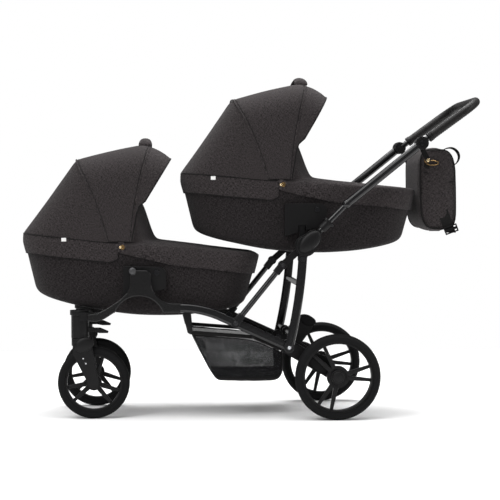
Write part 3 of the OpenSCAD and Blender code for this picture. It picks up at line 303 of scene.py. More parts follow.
def plain_cloth(name, kind, dark, pale, pitch):
    mat, tree, shader = new_material(name, dark, 0.88, Sheen_Weight=0.04, Specular_IOR_Level=0.1)
    tint(tree, shader, noise_at(tree, coords(tree, kind, (300, 300, 300))), dark, pale)
    bump(tree, shader, weave_height(tree, kind, pitch), 0.6, 0.0006)
    return mat


YARNS = ((0.0070, 0.0060, 0.0062), (0.054, 0.0465, 0.0475))
weave = melange("weave", "UV", *YARNS)
# The tub's weave: the same yarns made darker, as painted shade for its upright sides.
weave_tub_painted_shade = melange("weave_tub_painted_shade", "UV", (0.0036, 0.0032, 0.0033), (0.030, 0.0260, 0.0268))
weave_trim = melange("weave_trim", "Object", *YARNS)
lining = plain_cloth("lining", "UV", (0.05, 0.048, 0.046), (0.09, 0.086, 0.082), 0.0015)
jersey = plain_cloth("jersey", "UV", (0.36, 0.34, 0.32), (0.48, 0.46, 0.43), 0.0018)
webbing = plain_cloth("webbing", "Object", (0.004, 0.004, 0.004), (0.013, 0.0125, 0.0125), 0.0016)
binding = plain_cloth("binding", "Object", (0.004, 0.0037, 0.0037), (0.012, 0.011, 0.011), 0.0014)
thread = plain_cloth("thread", "Object", (0.035, 0.032, 0.031), (0.065, 0.06, 0.057), 0.0008)
label = plain_cloth("label", "Object", (0.80, 0.79, 0.78), (0.88, 0.87, 0.86), 0.0008)


def net(name, wire, gap):
    """A mesh cloth: yarns with a thin gauze between them; a slow noise lets the yarns wander."""
    mat, tree, shader = new_material(name, (0.009, 0.009, 0.010), 0.75, Specular_IOR_Level=0.1)
    grain = noise_at(tree, coords(tree, "UV", (200, 200, 200)))
    tint(tree, shader, grain, (0.005, 0.005, 0.006), (0.014, 0.014, 0.015))
    drift = calculate(tree, "MULTIPLY", noise_at(tree, coords(tree, "UV", (9, 30, 9)), 2.0), 1.6)
    cell = node(tree, "ShaderNodeVectorMath", operation="ADD")
    tree.links.new(coords(tree, "UV", (1 / gap, 1 / gap, 1)), cell.inputs[0])
    tree.links.new(drift, cell.inputs[1])
    parts = node(tree, "ShaderNodeSeparateXYZ")
    tree.links.new(cell.outputs["Vector"], parts.inputs["Vector"])
    yarns = []
    for axis in ("X", "Y"):
        place = calculate(tree, "FRACT", parts.outputs[axis])
        yarns.append(calculate(tree, "LESS_THAN", place, wire / gap))
    gauze = calculate(tree, "MAXIMUM", calculate(tree, "MAXIMUM", *yarns), 0.42)
    tree.links.new(gauze, shader.inputs["Alpha"])
    return mat


mesh_cloth = net("mesh_cloth", 0.0005, 0.0026)
print("cloth finishes are ready")

# %% [markdown]
# ### Hard finishes
# The tubes have a satin powder coat with a faint orange-peel skin; the mouldings are grained nylon and
# the foam tyres are dull. No moulded or drawn edge is knife sharp, so a Bevel node bends the normals
# within a millimetre or two of each edge, and the edge catches a thin line of light.

# %% Hard finishes
def shades(color, low, high):
    """A darker and a paler shade of a colour."""
    return [tuple(c * f for c in color) for f in (low, high)]


def grained(name, color, rough, size, depth, edge, shine=0.5, metal=0.0):
    mat, tree, shader = new_material(name, color, rough, Specular_IOR_Level=shine, Metallic=metal)
    grain = noise_at(tree, coords(tree, "Object", (size, size, size)), 3.0)
    tint(tree, shader, grain, *shades(color, 0.7, 1.35))
    skin = bump(tree, shader, grain, 0.35, depth)
    rounding = node(tree, "ShaderNodeBevel", samples=6, Radius=edge)
    tree.links.new(rounding.outputs["Normal"], skin.inputs["Normal"])
    return mat


tube_paint = grained("tube_paint", (0.0045, 0.0045, 0.005), 0.14, 900, 0.0001, 0.002, shine=0.4)
moulding = grained("moulding", (0.0055, 0.0053, 0.0056), 0.4, 1500, 0.00018, 0.003, shine=0.16)
moulding_dark = grained("moulding_dark", (0.004, 0.004, 0.0042), 0.5, 1500, 0.00018, 0.002, shine=0.12)
arch_moulding = grained("arch_moulding", (0.0042, 0.004, 0.0042), 0.2, 1500, 0.00008, 0.005, shine=0.4)
tyre_foam = grained("tyre_foam", (0.0055, 0.0055, 0.0058), 0.75, 700, 0.0004, 0.0015, shine=0.1)
steel = grained("steel", (0.035, 0.035, 0.037), 0.36, 400, 0.00005, 0.0006, metal=1.0)
zinc = grained("zinc", (0.55, 0.56, 0.58), 0.3, 400, 0.00005, 0.0006, metal=1.0)
satin = grained("satin", (0.055, 0.055, 0.057), 0.45, 400, 0.00005, 0.002, metal=0.6)
gunmetal = grained("gunmetal", (0.03, 0.03, 0.032), 0.28, 300, 0.00003, 0.0008, metal=1.0)
bronze = grained("bronze", (0.26, 0.165, 0.07), 0.24, 500, 0.00005, 0.0012, metal=1.0)
pale_gold = grained("pale_gold", (0.72, 0.56, 0.33), 0.2, 500, 0.00005, 0.0006, metal=1.0)


def hide(name, color):
    """Leather: cells of a Voronoi texture make the creased grain."""
    mat, tree, shader = new_material(name, color, 0.5, Specular_IOR_Level=0.2)
    cells = node(tree, "ShaderNodeTexVoronoi", Scale=700.0, feature="DISTANCE_TO_EDGE")
    source = node(tree, "ShaderNodeTexCoord")
    tree.links.new(source.outputs["Object"], cells.inputs["Vector"])
    wear = noise_at(tree, coords(tree, "Object", (60, 60, 60)))
    tint(tree, shader, wear, *shades(color, 0.7, 1.5))
    bump(tree, shader, cells.outputs["Distance"], 0.08, 0.0002)
    return mat


leather = hide("leather", (0.007, 0.0064, 0.0064))

FINISH = {
    "tube_paint": tube_paint, "moulding": moulding, "steel": steel, "trim": gunmetal, "tyre_foam": tyre_foam,
    "weave": weave_trim, "lining": jersey, "mesh": mesh_cloth, "webbing": webbing, "leather": leather,
    "bronze": bronze,
}
for part in frame["record"]["subparts"]:
    mesh = frame["nodes"][part["node"]].data
    mesh.materials.clear()
    mesh.materials.append(FINISH[part["material_slot"]])
for name in ("front_arch_left", "front_arch_right"):
    frame["nodes"][name].data.materials[0] = arch_moulding

# %% [markdown]
# ## The carrycot's shape
# Both carrycots are the same piece of work, so we draw one in its own frame: x along the cot from the
# adapter towards the foot, z up from the lowest point of the tub. The front cot leans one degree.

# %% Carrycot shape
PLACE = {"rear": (0.167, 0.560, 0.0), "front": (-0.380, 0.348, 1.0)}
HEAD = FOOT = 0.402
HALF = 0.197
CORNER = 0.120
END_TAPER = 0.044
SIDE_TAPER = 0.015
PIVOT = Vector((-0.070, 0.2495))


def around(degrees):
    """Cosine and sine of an angle in degrees."""
    turn = math.radians(degrees)
    return math.cos(turn), math.sin(turn)


def at_cot(cot, p):
    """From the cot's own frame to the pram's."""
    x0, z0, tilt = PLACE[cot]
    c, s = around(tilt)
    x, y, z = p
    return Vector((x0 + c * x + s * z, y, z0 - s * x + c * z))


def cot_rows(cot, rows):
    """Rows of points from the cot's own frame to the pram's."""
    return [[at_cot(cot, p) for p in row] for row in rows]


def rim_at(x):
    return 0.225 - 0.05 * x


def bottom_at(x):
    low = 0.064
    return 0.069 * ((x - low) / 0.422) ** 2 if x < low else 0.040 * ((x - low) / 0.294) ** 2


def rounded(head, foot, half, r):
    """Plan outline with round corners, always with the same count of points."""
    out = []
    centres = [(foot - r, half - r), (r - head, half - r), (r - head, r - half), (foot - r, r - half)]
    for k, (cx, cy) in enumerate(centres):
        for i in range(9):
            c, s = around(90 * k + 90 * i / 8)
            out.append((cx + r * c, cy + r * s))
        nx, ny = centres[(k + 1) % 4]
        c, s = around(90 * (k + 1) % 360)
        end = (nx + r * c, ny + r * s)
        count = 14 if k % 2 == 0 else 6
        last = out[-1]
        out += [(last[0] + (end[0] - last[0]) * i / count, last[1] + (end[1] - last[1]) * i / count)
                for i in range(1, count)]
    return out


def tub_ring(u, inset, lift=0.0):
    """Ring of the tub: u is 0 at the bottom and 1 at the rim."""
    half = max(HALF - SIDE_TAPER * (1 - u) - inset, 0.003)
    end = HEAD - END_TAPER * (1 - u) - inset
    outline = rounded(end, end, half, min(half, max(CORNER - inset, 0.02)))
    return [(x, y, bottom_at(x) * (1 - u) + rim_at(x) * u + lift) for x, y in outline]


print("carrycot outline has", len(rounded(HEAD, FOOT, HALF, CORNER)), "points")

# %% [markdown]
# ## Tubs
# The tub is a padded wall with a cloth skin. Its grid starts at a line under the floor, runs out and up
# the outside, over the rim and down the inside again, so outer cloth and lining are one closed skin.

# %% Tubs
OUTSIDE = [(0, 0.178), (0, 0.12), (0, 0.06), (0, 0.022), (0.03, 0.007), (0.09, 0), (0.2, 0), (0.35, 0),
           (0.5, 0), (0.65, 0), (0.8, 0), (0.92, 0), (0.985, 0)]
INSIDE = [(1, 0.002, 0.0), (1, 0.007, 0.0), (1, 0.012, 0.0), (0.97, 0.014, 0.0), (0.7, 0.014, 0.003),
          (0.4, 0.014, 0.009), (0.12, 0.018, 0.014), (0, 0.04, 0.016), (0, 0.09, 0.016), (0, 0.178, 0.016)]


def make_tub(cot):
    rows = [tub_ring(*r) for r in OUTSIDE + INSIDE]
    tub = cloth_grid(f"{cot}_tub_skin", cot_rows(cot, rows), ring=True)
    # Outside the weave darkened as painted shade, inside the lining.
    for mat in (weave_tub_painted_shade, lining):
        tub.data.materials.append(mat)
    wide = len(rows[0])
    for p in tub.data.polygons:
        p.material_index = int(p.index // wide >= len(OUTSIDE) + 2)
    apply_modifier(tub, "SUBSURF", levels=2, render_levels=2)
    tub.data.shade_smooth()
    ripple(tub, 0.0012, 0.11, 3.0 if cot == "rear" else 8.0)
    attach(tub, f"{cot}_cot")
    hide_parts(f"{cot}_cot_tub")
    print(tub.name, len(tub.data.polygons), "faces")


for cot in PLACE:
    make_tub(cot)

# %% [markdown]
# ## Edit mode
# Much of what follows goes into edit mode, changes what is selected there and comes back, as one does by
# hand. A lofted form is open at both ends: filling them closes it, so that it can be blown up. Most pieces
# end in the same way, with a finish and the body that they ride on.

# %% Edit mode helpers
def edit_all(kind=None):
    """Goes into edit mode with all of the mesh selected; kind sets what is picked, such as faces."""
    bpy.ops.object.mode_set(mode="EDIT")
    if kind:
        bpy.ops.mesh.select_mode(type=kind)
    bpy.ops.mesh.select_all(action="SELECT")


def edit_done():
    """Comes back from edit mode."""
    bpy.ops.object.mode_set(mode="OBJECT")


def close_ends(obj):
    """Fills the open ends of a lofted form and turns its faces outwards."""
    select_only(obj)
    edit_all()
    bpy.ops.mesh.fill_holes(sides=0)
    bpy.ops.mesh.normals_make_consistent(inside=False)
    edit_done()


def twin_of(obj, name):
    """A copy of an object with a mesh of its own."""
    twin = obj.copy()
    twin.data = obj.data.copy()
    twin.name = name
    bpy.context.collection.objects.link(twin)
    return twin


def fit(obj, mat, body):
    """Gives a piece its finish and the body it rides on."""
    obj.data.materials.clear()
    obj.data.materials.append(mat)
    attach(obj, body)


print("edit mode helpers are ready")

# %% [markdown]
# ## Mattresses
# A mattress is a foam pad in a knitted cover. We loft a plain pad, then let a cloth simulation with a
# little pressure fill it, which draws its edges round as a sewn cover does.

# %% Mattresses
def puff(obj, cap, pressure):
    """Blows a closed cloth up a little; no point moves further than the cap."""
    apply_modifier(obj, "REMESH", mode="VOXEL", voxel_size=0.006)
    rest = [v.co.copy() for v in obj.data.vertices]
    scene = bpy.context.scene
    modifier = obj.modifiers.new("Cloth", "CLOTH")
    modifier.point_cache.frame_start = 1
    modifier.point_cache.frame_end = 20
    settings = modifier.settings
    settings.quality = 4
    settings.use_pressure = True
    settings.uniform_pressure_force = pressure
    settings.effector_weights.gravity = 0
    settings.tension_stiffness = 12
    settings.bending_stiffness = 0.4
    for number in range(1, 21):
        scene.frame_set(number)
    bpy.context.view_layer.objects.active = obj
    bpy.ops.object.modifier_apply(modifier=modifier.name)
    scene.frame_set(1)
    for v, start in zip(obj.data.vertices, rest):
        move = v.co - start
        if move.length > cap:
            v.co = start + move * (cap / move.length)
    apply_modifier(obj, "SMOOTH", factor=0.5, iterations=3)
    obj.data.shade_smooth()


def flat_uv(obj):
    """UV map in metres, each face seen from the side it points to."""
    uv = obj.data.uv_layers.new(name="cloth").data
    for face in obj.data.polygons:
        n = [abs(v) for v in face.normal]
        first, second = [(1, 2), (0, 2), (0, 1)][n.index(max(n))]
        for index in face.loop_indices:
            co = obj.data.vertices[obj.data.loops[index].vertex_index].co
            uv[index].uv = (co[first], co[second])


MATTRESS = [(0.12, 0.0), (0.048, 0.0), (0.038, 0.010), (0.036, 0.0225), (0.039, 0.038), (0.060, 0.045),
            (0.106, 0.050), (0.17, 0.052)]
FLOOR = 0.0168
rows = [tub_ring(0, inset, FLOOR + lift) for inset, lift in MATTRESS]
pad = cloth_grid("rear_mattress_pad", cot_rows("rear", rows), ring=True)
close_ends(pad)
puff(pad, 0.004, 3.0)
twin = twin_of(pad, "front_mattress_pad")
x0, z0, tilt = PLACE["front"]
lean = Matrix.Translation((x0, 0, z0)) @ Matrix.Rotation(math.radians(tilt), 4, "Y")
twin.data.transform(lean @ Matrix.Translation((-PLACE["rear"][0], 0, -PLACE["rear"][1])))
for cot, obj in (("rear", pad), ("front", twin)):
    flat_uv(obj)
    fit(obj, jersey, f"{cot}_cot")
    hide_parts(f"{cot}_cot_mattress")
print("mattresses", len(pad.data.polygons), "faces each")

# %% [markdown]
# ## Aprons
# The apron is one sheet: an upright wind flap at the front, a crowned top over the child's feet and a
# skirt outside the tub. Each row crosses the cot from the left hem to the right hem.

# %% Aprons
def limit(x):
    """Keeps a number between 0 and 1."""
    return max(0.0, min(1.0, x))


def skirt_z(x):
    return rim_at(x) - 0.016 - 0.031 * limit((x + 0.078) / 0.172) - 0.013 * limit((x - 0.094) / 0.308)


APRON_GAP = 0.0032
APRON_FOOT = FOOT + APRON_GAP
APRON_HALF = HALF + APRON_GAP
APRON_R = CORNER + APRON_GAP
FOOT_DRAW = 0.040
SPREAD = [1, 1.003, 1.004, 0.997, 0.965, 0.93, 0.885, 0.84, 0.65, 0.35, 0]
LEAN = [0, 0, 0.02, 0.055, 0.16, 0.27, 0.34, 0.41, 0.62, 0.88, 1]
CROWN = [0, 0, 0, -0.0016, 0.002, 0.0034, 0.005, 0.0064, 0.008, 0.0095, 0.0106]
RISE = [0, 0, 0, 0, 0, 0, 0.42, 0.77, 0.85, 0.94, 1]
FLAP = [(-0.072, 0.073, 0.124), (-0.066, 0.075, 0.110), (-0.052, 0.078, 0.062), (-0.040, 0.080, 0.026),
        (-0.030, 0.081, 0.004), (0.000, 0.066, 0.0)]


def apron_half(x):
    d = max(0.0, x - (APRON_FOOT - APRON_R))
    return APRON_HALF - APRON_R + math.sqrt(max(0.0, APRON_R ** 2 - d ** 2))


def draw_in(x, z):
    """How far the tub's wall has drawn in at a height: 0 at the rim and 1 at the bottom."""
    low = bottom_at(min(x, 0.36))
    return 1 - limit((z - low) / (rim_at(x) - low))


def apron_row(x0, lean, rise, wide):
    half = []
    for k in range(11):
        x = x0 - 0.004 * (1 - k / 3) if k < 3 else x0 + lean * LEAN[k]
        fill = (0.012 - 0.021 * limit((x - 0.057) / 0.337)) * max(0.0, CROWN[k]) / CROWN[-1]
        top = rim_at(x) + 0.0125 + CROWN[k] + fill + rise * RISE[k]
        hem = skirt_z(x)
        top -= 0.009 * limit((x - APRON_FOOT + 0.022) / 0.022) ** 2
        z = hem + (rim_at(x) + 0.006 - hem) * (k / 3) if k < 3 else top
        drawn = draw_in(x, z)
        back = FOOT_DRAW * drawn * limit((x - 0.22) / 0.15)
        half.append((x - back, SPREAD[k] * wide * (1 - 0.05 * drawn), z))
    return [(x, -y, z) for x, y, z in half] + half[-2::-1]


def plain_row(x):
    return apron_row(x, 0, 0, apron_half(x))


def apron_rows():
    rows = [apron_row(x, lean, rise, apron_half(0)) for x, lean, rise in FLAP]
    rows += [plain_row(x) for x in (0.09, 0.13, 0.17, 0.21, 0.25)]
    rows += [plain_row(APRON_FOOT - APRON_R + APRON_R * around(a)[1]) for a in range(0, 90, 10)]
    hem = skirt_z(APRON_FOOT)
    for s in (0.0, 0.35, 0.7, 1.0):
        drop = [(y, z + (hem - z) * s) for x, y, z in plain_row(APRON_FOOT)]
        rows.append([(APRON_FOOT - FOOT_DRAW * draw_in(APRON_FOOT, z), y, z) for y, z in drop])
    return rows


def make_apron(cot):
    apron = cloth_grid(f"{cot}_apron_sheet", cot_rows(cot, apron_rows()))
    sew(apron, 0.0024)
    ripple(apron, 0.0016, 0.09, 2.0 if cot == "rear" else 5.0)
    fit(apron, weave, f"{cot}_cot")
    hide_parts(f"{cot}_cot_apron")


for cot in PLACE:
    make_apron(cot)

# %% [markdown]
# ## Hoods
# A hood is three panels sewn together over two bows. Each row of its grid is an arch from one side over
# the top to the other: straight legs, then a round corner, then the crown. The panels between the
# seams are straight, as stretched cloth is.

# %% Hood shape
HOOD_HALF = HALF + 0.0030
VISOR_SWELL = 0.008
LEG_STEPS = (0.02, 0.12, 0.25, 0.38, 0.5, 0.62, 0.75, 0.88, 1.0)


def ray(degrees, reach):
    return PIVOT + reach * Vector(around(degrees))


def arch(start, top, bend=None, grow=0.0):
    """An arch from beside the left pivot over a top point to the right; bend shifts its legs forwards."""
    d = top - start
    reach = d.length + grow
    d.normalize()
    forward = Vector((d.y, -d.x))
    half_width = HOOD_HALF + grow
    leg = reach - CORNER
    crown = half_width - CORNER
    half = [(leg * f, half_width + 0.001 * math.sin(math.pi * f)) for f in LEG_STEPS]
    for a in range(15, 91, 15):
        c, s = around(a)
        half.append((leg + CORNER * s, crown + CORNER * c))
    half += [(reach + 0.0012, crown * 0.66), (reach + 0.0024, crown * 0.33)]
    full = [(s, -y) for s, y in half] + [(reach + 0.003, 0.0)] + half[::-1]
    out = []
    for along, y in full:
        p = start + d * along + forward * (bend(along) if bend else 0.0)
        out.append(Vector((p.x, y, p.y)))
    return out


TIP = ray(60, 0.330)
FRONT_TOP = ray(78.5, 0.338)
MID_TOP = ray(120, 0.318)
HEM_TOP = Vector((-0.4044, 0.272))
VISOR_START = Vector((-0.034, 0.248))
FRONT_START = Vector((-0.038, 0.246))
MID_START = Vector((-0.112, 0.246))


def visor_bend(along):
    """The visor's edge hugs the front seam low down, then steps out and runs straight to its tip."""
    low = -0.032 * limit(along / 0.118)
    high = -0.018 * limit((0.315 - along) / 0.169)
    step = limit((along - 0.112) / 0.030)
    return low + (high - low) * step * step * (3 - 2 * step)


def mid_bend(along):
    return 0.008 * math.sin(math.pi * limit(along / 0.28))


def hood_rows(grow=0.0):
    """The four main arches: visor edge, front seam, middle seam and hem line."""
    return (arch(VISOR_START, TIP, visor_bend, grow), arch(FRONT_START, FRONT_TOP, None, grow),
            arch(MID_START, MID_TOP, mid_bend, grow), arch(MID_START, HEM_TOP, None, grow))


def outward(p):
    """Direction from the line between the pivots to a point of the hood."""
    return Vector((p.x + 0.07, 0, p.z - 0.25)).normalized()


def between(a, b, count, swell=0.0):
    """Rows of a panel from arch a up to, not including, arch b."""
    out = []
    for k in range(count):
        s = k / count
        lift = swell * math.sin(math.pi * s)
        out.append([p.lerp(q, s) + outward(p) * lift for p, q in zip(a, b)])
    return out


def visor_seam(front, tip, mid, back=0.0):
    """The front seam leaves the bow's line for the visor near the top; back moves it to the rear."""
    out = []
    for p, q, m in zip(front, tip, mid):
        k = 0.24 * limit((p.z - 0.374) / 0.207) - back
        swell = outward(q) * VISOR_SWELL * math.sin(math.pi * max(k, 0.0))
        out.append(p.lerp(q, k) + swell if k > 0 else p.lerp(m, -0.57 * k))
    return out


def hood_blend(obj):
    """Bakes the piece's place and turn into its mesh."""
    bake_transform(obj)


print("hood tips at", [round(v, 3) for v in TIP])

# %% [markdown]
# The cover bends as one sheet. Its seams are thin raised ridges where the bows run in their channels,
# with a thin dark cord beside each as painted shade for the groove along the seam, and a row of stitches
# follows the bound edge of the visor. The middle bow is a springy stay in a sleeve of the same cloth
# sewn under its seam, so the sleeve is what shows.

# %% Hood covers
def trim_hood(obj, mat):
    obj.data.materials.append(mat)
    hood_blend(obj)


def on_hood(cot, row, out=0.0, up=0.0):
    """A row of the hood in the pram's frame, moved a little out of the cloth."""
    return [at_cot(cot, p + Vector((0, math.copysign(out, p.y), up))) for p in row]


def make_hood(cot):
    tip, front, mid, hem = hood_rows()
    visor = between(tip, front, 5, VISOR_SWELL)
    rows = visor + between(front, mid, 8, 0.003) + between(mid, hem, 10, -0.002) + [hem]
    cover = cloth_grid(f"{cot}_hood_sheet", cot_rows(cot, rows))
    sew(cover, 0.0024)
    ripple(cover, 0.0008, 0.10, 1.0 if cot == "rear" else 6.0)
    trim_hood(cover, weave)
    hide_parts(f"{cot}_hood_cover")

    sleeve = piping(f"{cot}_hood_mid_sleeve", on_hood(cot, hood_rows(-0.0080)[2]), 0.0055)
    trim_hood(sleeve, weave)
    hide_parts(f"{cot}_hood_mid_bow")

    seams = (("front_seam", visor_seam(front, tip, mid), visor_seam(front, tip, mid, 0.06)),
             ("mid_seam", mid, [p.lerp(q, 0.034) for p, q in zip(mid, front)]))
    for name, row, line in seams:
        ridge = piping(f"{cot}_hood_{name}", on_hood(cot, row, 0.0006, 0.0006), 0.0024)
        trim_hood(ridge, weave_trim)
        # A thin cord of dark binding beside each ridge: painted shade for the groove along the seam.
        seam_painted_shade = piping(f"{cot}_hood_{name}_line", on_hood(cot, line, 0.0012, 0.001), 0.0009)
        trim_hood(seam_painted_shade, binding)
    trim_hood(piping(f"{cot}_hood_visor_edge", on_hood(cot, tip), 0.0024), binding)
    sewn = on_hood(cot, visor[1], 0.0014, 0.0008)[3:-3]
    trim_hood(stitches(f"{cot}_visor_stitches", sewn), thread)


for cot in PLACE:
    make_hood(cot)

# %% [markdown]
# The hem band is a second sheet that hangs from the hem line down outside the tub, all round the head
# end, with round front corners. It belongs to the cot and stays still when the hood folds.

# %% Hem bands
BAND_FRONT = -0.078


def hem_z(x):
    return 0.246 + 0.026 * limit((-0.112 - x) / 0.2924)


def wall_point(x, y, z, out):
    """A point of the plan outline moved in to the tapered wall at height z, then out by a gap."""
    low = bottom_at(max(x, -0.36))
    u = limit((z - low) / (rim_at(x) - low))
    scale_x = 1 - (END_TAPER * (1 - u) - out) / HEAD if x < -HEAD + CORNER else 1.0
    scale_y = 1 - (SIDE_TAPER * (1 - u) - out) / HALF
    return Vector((x * scale_x, y * scale_y, z))


def band_plan():
    half = [(BAND_FRONT + (CORNER - HEAD - BAND_FRONT) * k / 10, HALF) for k in range(10)]
    for a in range(0, 91, 9):
        c, s = around(a)
        half.append((CORNER - HEAD - CORNER * s, HALF - CORNER + CORNER * c))
    half += [(-HEAD, (HALF - CORNER) * f) for f in (0.66, 0.33)]
    return [(x, -y) for x, y in half] + [(-HEAD, 0.0)] + [(x, y) for x, y in reversed(half)]


def make_band(cot):
    rows = []
    for t in (0.0, 0.15, 0.4, 0.65, 0.88, 1.0):
        row = []
        for x, y in band_plan():
            corner = 0.012 * (1 - math.sqrt(max(0.0, 1 - (1 - limit((BAND_FRONT - x) / 0.02)) ** 2)))
            z = hem_z(x) - (0.066 - corner) * t
            row.append(at_cot(cot, wall_point(x, y, z, 0.0030 + 0.001 * math.sin(math.pi * t))))
        rows.append(row)
    band = cloth_grid(f"{cot}_hood_band", rows)
    sew(band, 0.0022)
    ripple(band, 0.0008, 0.08, 4.0)
    fit(band, weave, f"{cot}_cot")
    for name, row, radius in (("hem_seam", rows[0], 0.0016), ("band_edge", rows[-1], 0.0014)):
        path = [p + Vector((0, math.copysign(0.001, p.y), 0)) for p in row]
        fit(piping(f"{cot}_hood_{name}", path, radius), binding, f"{cot}_cot")


for cot in PLACE:
    make_band(cot)

# %% [markdown]
# Where the apron meets the hood, its front corner is a round tab that carries the press stud. The tab is a
# filled circle, inset twice to give it rings, and takes its thickness from Solidify.

# %% Corner tabs
SIDES = ((-1, "left"), (1, "right"))
UPRIGHT = (math.radians(90), 0, 0)
SMOOTH_ANGLE = math.radians(40)


def begin(name):
    """Names the solid that was just added, deselects all else and applies its place and turn."""
    obj = bpy.context.object
    obj.name = name
    select_only(obj)
    bpy.ops.object.transform_apply(location=True, rotation=True, scale=True)
    return obj


def make_tab(cot, side, name):
    place = at_cot(cot, (-0.069, side * 0.2019, 0.2322))
    bpy.ops.mesh.primitive_circle_add(vertices=40, radius=0.0185, fill_type="NGON", location=place,
                                      rotation=UPRIGHT)
    tab = begin(f"{cot}_stud_tab_{name}")
    edit_all("FACE")
    bpy.ops.mesh.inset(thickness=0.003)
    bpy.ops.mesh.inset(thickness=0.006)
    edit_done()
    apply_modifier(tab, "SOLIDIFY", thickness=0.0014, offset=0)
    apply_modifier(tab, "BEVEL", width=0.0005, segments=2)
    bpy.ops.object.shade_smooth_by_angle(angle=SMOOTH_ANGLE)
    fit(tab, weave_trim, f"{cot}_cot")


for cot in PLACE:
    for side, name in SIDES:
        make_tab(cot, side, name)
print("four stud tabs")

# %% [markdown]
# On top of each hood a short padded handle crosses the front seam, for lifting the cot by hand. It is a
# flat oval tube along an arc, closed at both ends where it is sewn down.

# %% Carry handles
def make_handle(cot):
    rows = []
    for k in range(15):
        t = k / 14
        y = 0.085 * (2 * t - 1)
        lift = 0.024 * math.sin(math.pi * t) ** 0.5 - 0.006
        wide = 0.026 - 0.007 * math.sin(math.pi * t)
        centre = Vector((FRONT_TOP.x + 0.010, y, FRONT_TOP.y + lift))
        row = []
        for i in range(12):
            a = math.tau * i / 12
            row.append(at_cot(cot, centre + Vector((wide * math.cos(a), 0, 0.0100 * math.sin(a)))))
        rows.append(row)
    handle = cloth_grid(f"{cot}_carry_handle", rows, ring=True)
    close_ends(handle)
    apply_modifier(handle, "SUBSURF", levels=1, render_levels=1)
    handle.data.shade_smooth()
    trim_hood(handle, weave_trim)


for cot in PLACE:
    make_handle(cot)
print("two carry handles")

# %% [markdown]
# A blank woven tag is folded into the hem line on the left of each hood. It starts as a cube, pressed to
# a thin strip; its edges are softened with a Bevel modifier.

# %% Tags
def stretch(size, centre=(0, 0, 0)):
    """Scales what is selected in edit mode about a point."""
    bpy.ops.transform.resize(value=size, center_override=centre)


def make_tag(cot):
    place = at_cot(cot, (-0.301 if cot == "rear" else -0.261, -0.2018, 0.2545))
    bpy.ops.mesh.primitive_cube_add(size=1, location=place)
    tag = begin(f"{cot}_tag")
    edit_all()
    stretch((0.016, 0.0022, 0.012), place)
    bpy.ops.mesh.subdivide(number_cuts=2)
    edit_done()
    apply_modifier(tag, "BEVEL", width=0.0006, segments=2)
    fit(tag, label, f"{cot}_cot")


for cot in PLACE:
    make_tag(cot)
print("two blank tags")

# %% [markdown]
# ## The basket
# The basket is a net trough that hangs in its wires. The net is a fine grid of alpha holes in the
# material, so the far side shows through it. Its edges are bound and the lowest strip of its walls is
# plain cloth; these faces take a second material by where they lie.

# %% Basket
def basket_rows():
    front, front_low = Vector((-0.207, 0.292)), Vector((-0.131, 0.125))
    mid, rear, rear_low = Vector((0.002, 0.275)), Vector((0.1035, 0.2288)), Vector((0.116, 0.121))
    down = Vector((0, -0.0065))
    floor = 0.121

    def row(top, low):
        side = [(1, 0), (0.992, 0.22), (0.98, 0.45), (0.95, 0.7), (0.9, 0.92), (0.8, 1), (0.5, 1.01)]
        half = [(*(top + (low - top) * t), s * 0.1855) for s, t in side]
        full = [(x, y, z) for x, z, y in half]
        return full + [(low.x, 0.0, low.y - 0.003)] + [(x, -y, z) for x, y, z in reversed(full)]

    return [
        row(front, front + Vector((0.002, -0.012))),
        row(front + Vector((0.008, -0.0065)), (front + front_low) / 2),
        row(front + Vector((0.020, -0.0075)), front_low + Vector((0.006, -0.004))),
        row(front.lerp(mid, 0.3) + down, Vector((-0.10, floor))),
        row(front.lerp(mid, 0.6) + down, Vector((-0.05, floor - 0.002))),
        row(mid + down, Vector((0.0, floor - 0.003))),
        row(mid.lerp(rear, 0.5) + down, Vector((0.052, floor - 0.002))),
        row(rear + Vector((-0.014, -0.003)), rear_low + Vector((-0.014, 0))),
        row(rear + Vector((-0.006, -0.002)), (rear + rear_low) / 2),
        row(rear, rear + Vector((0, -0.012))),
    ]


basket = cloth_grid("basket_net", basket_rows())
sew(basket, 0.0012, 3)
ripple(basket, 0.002, 0.06, 7.0)
for mat in (mesh_cloth, webbing):
    basket.data.materials.append(mat)
for p in basket.data.polygons:
    x, y, z = p.center
    front_edge = -0.2085 + (0.292 - z) * 0.455
    top_edge = 0.2855 - 0.082 * limit((x + 0.2) / 0.2) * 0.2 - 0.45 * max(0.0, x)
    bound = z < 0.137 or z > top_edge - 0.006 or x < front_edge + 0.005 or x > 0.100
    p.material_index = int(bound)
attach(basket, "chassis")
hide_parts("basket_mesh")
WIRES = ((-0.213, 0.292), (-0.105, 0.2835), (0.002, 0.275), (0.060, 0.2500), (0.108, 0.2295))
for side, name in SIDES:
    path = [Vector((x, side * 0.1915, z)) for x, z in WIRES]
    fit(piping(f"basket_sleeve_{name}", path, 0.0066), webbing, "chassis")

# %% [markdown]
# ## The changing bag
# The bag is a soft box. Its sections are rounded squares that shrink at both ends, and a cloth
# simulation fills it so that its faces swell between the seams.

# %% Bag
def bag_section(y, k):
    out = []
    for i in range(32):
        a = math.tau * i / 32
        s, t = math.sin(a), math.cos(a)
        x = 0.642 + k * 0.064 * math.copysign(abs(t) ** 0.5, t) - 0.06 * k * 0.128 * s
        z = 0.7775 + k * 0.1425 * math.copysign(abs(s) ** 0.45, s)
        out.append((x, y, z))
    return out


BAG = [(-0.150, 0.3), (-0.150, 0.7), (-0.149, 0.88), (-0.144, 0.95), (-0.128, 0.985), (-0.09, 0.995),
       (0, 1.0)]
steps = BAG + [(-y, k) for y, k in reversed(BAG[:-1])]
bag = cloth_grid("bag_shell", [bag_section(y, k) for y, k in steps], ring=True)
close_ends(bag)
puff(bag, 0.003, 2.0)
flat_uv(bag)
fit(bag, weave, "bag")
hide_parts("bag_body")
print("bag", len(bag.data.polygons), "faces")

# %% [markdown]
# The bag's seams are piped: one loop round each end panel, and two short seams across it. A row of teeth
# along the top makes the zip. At the top corner a webbing loop hangs free, for a hand.

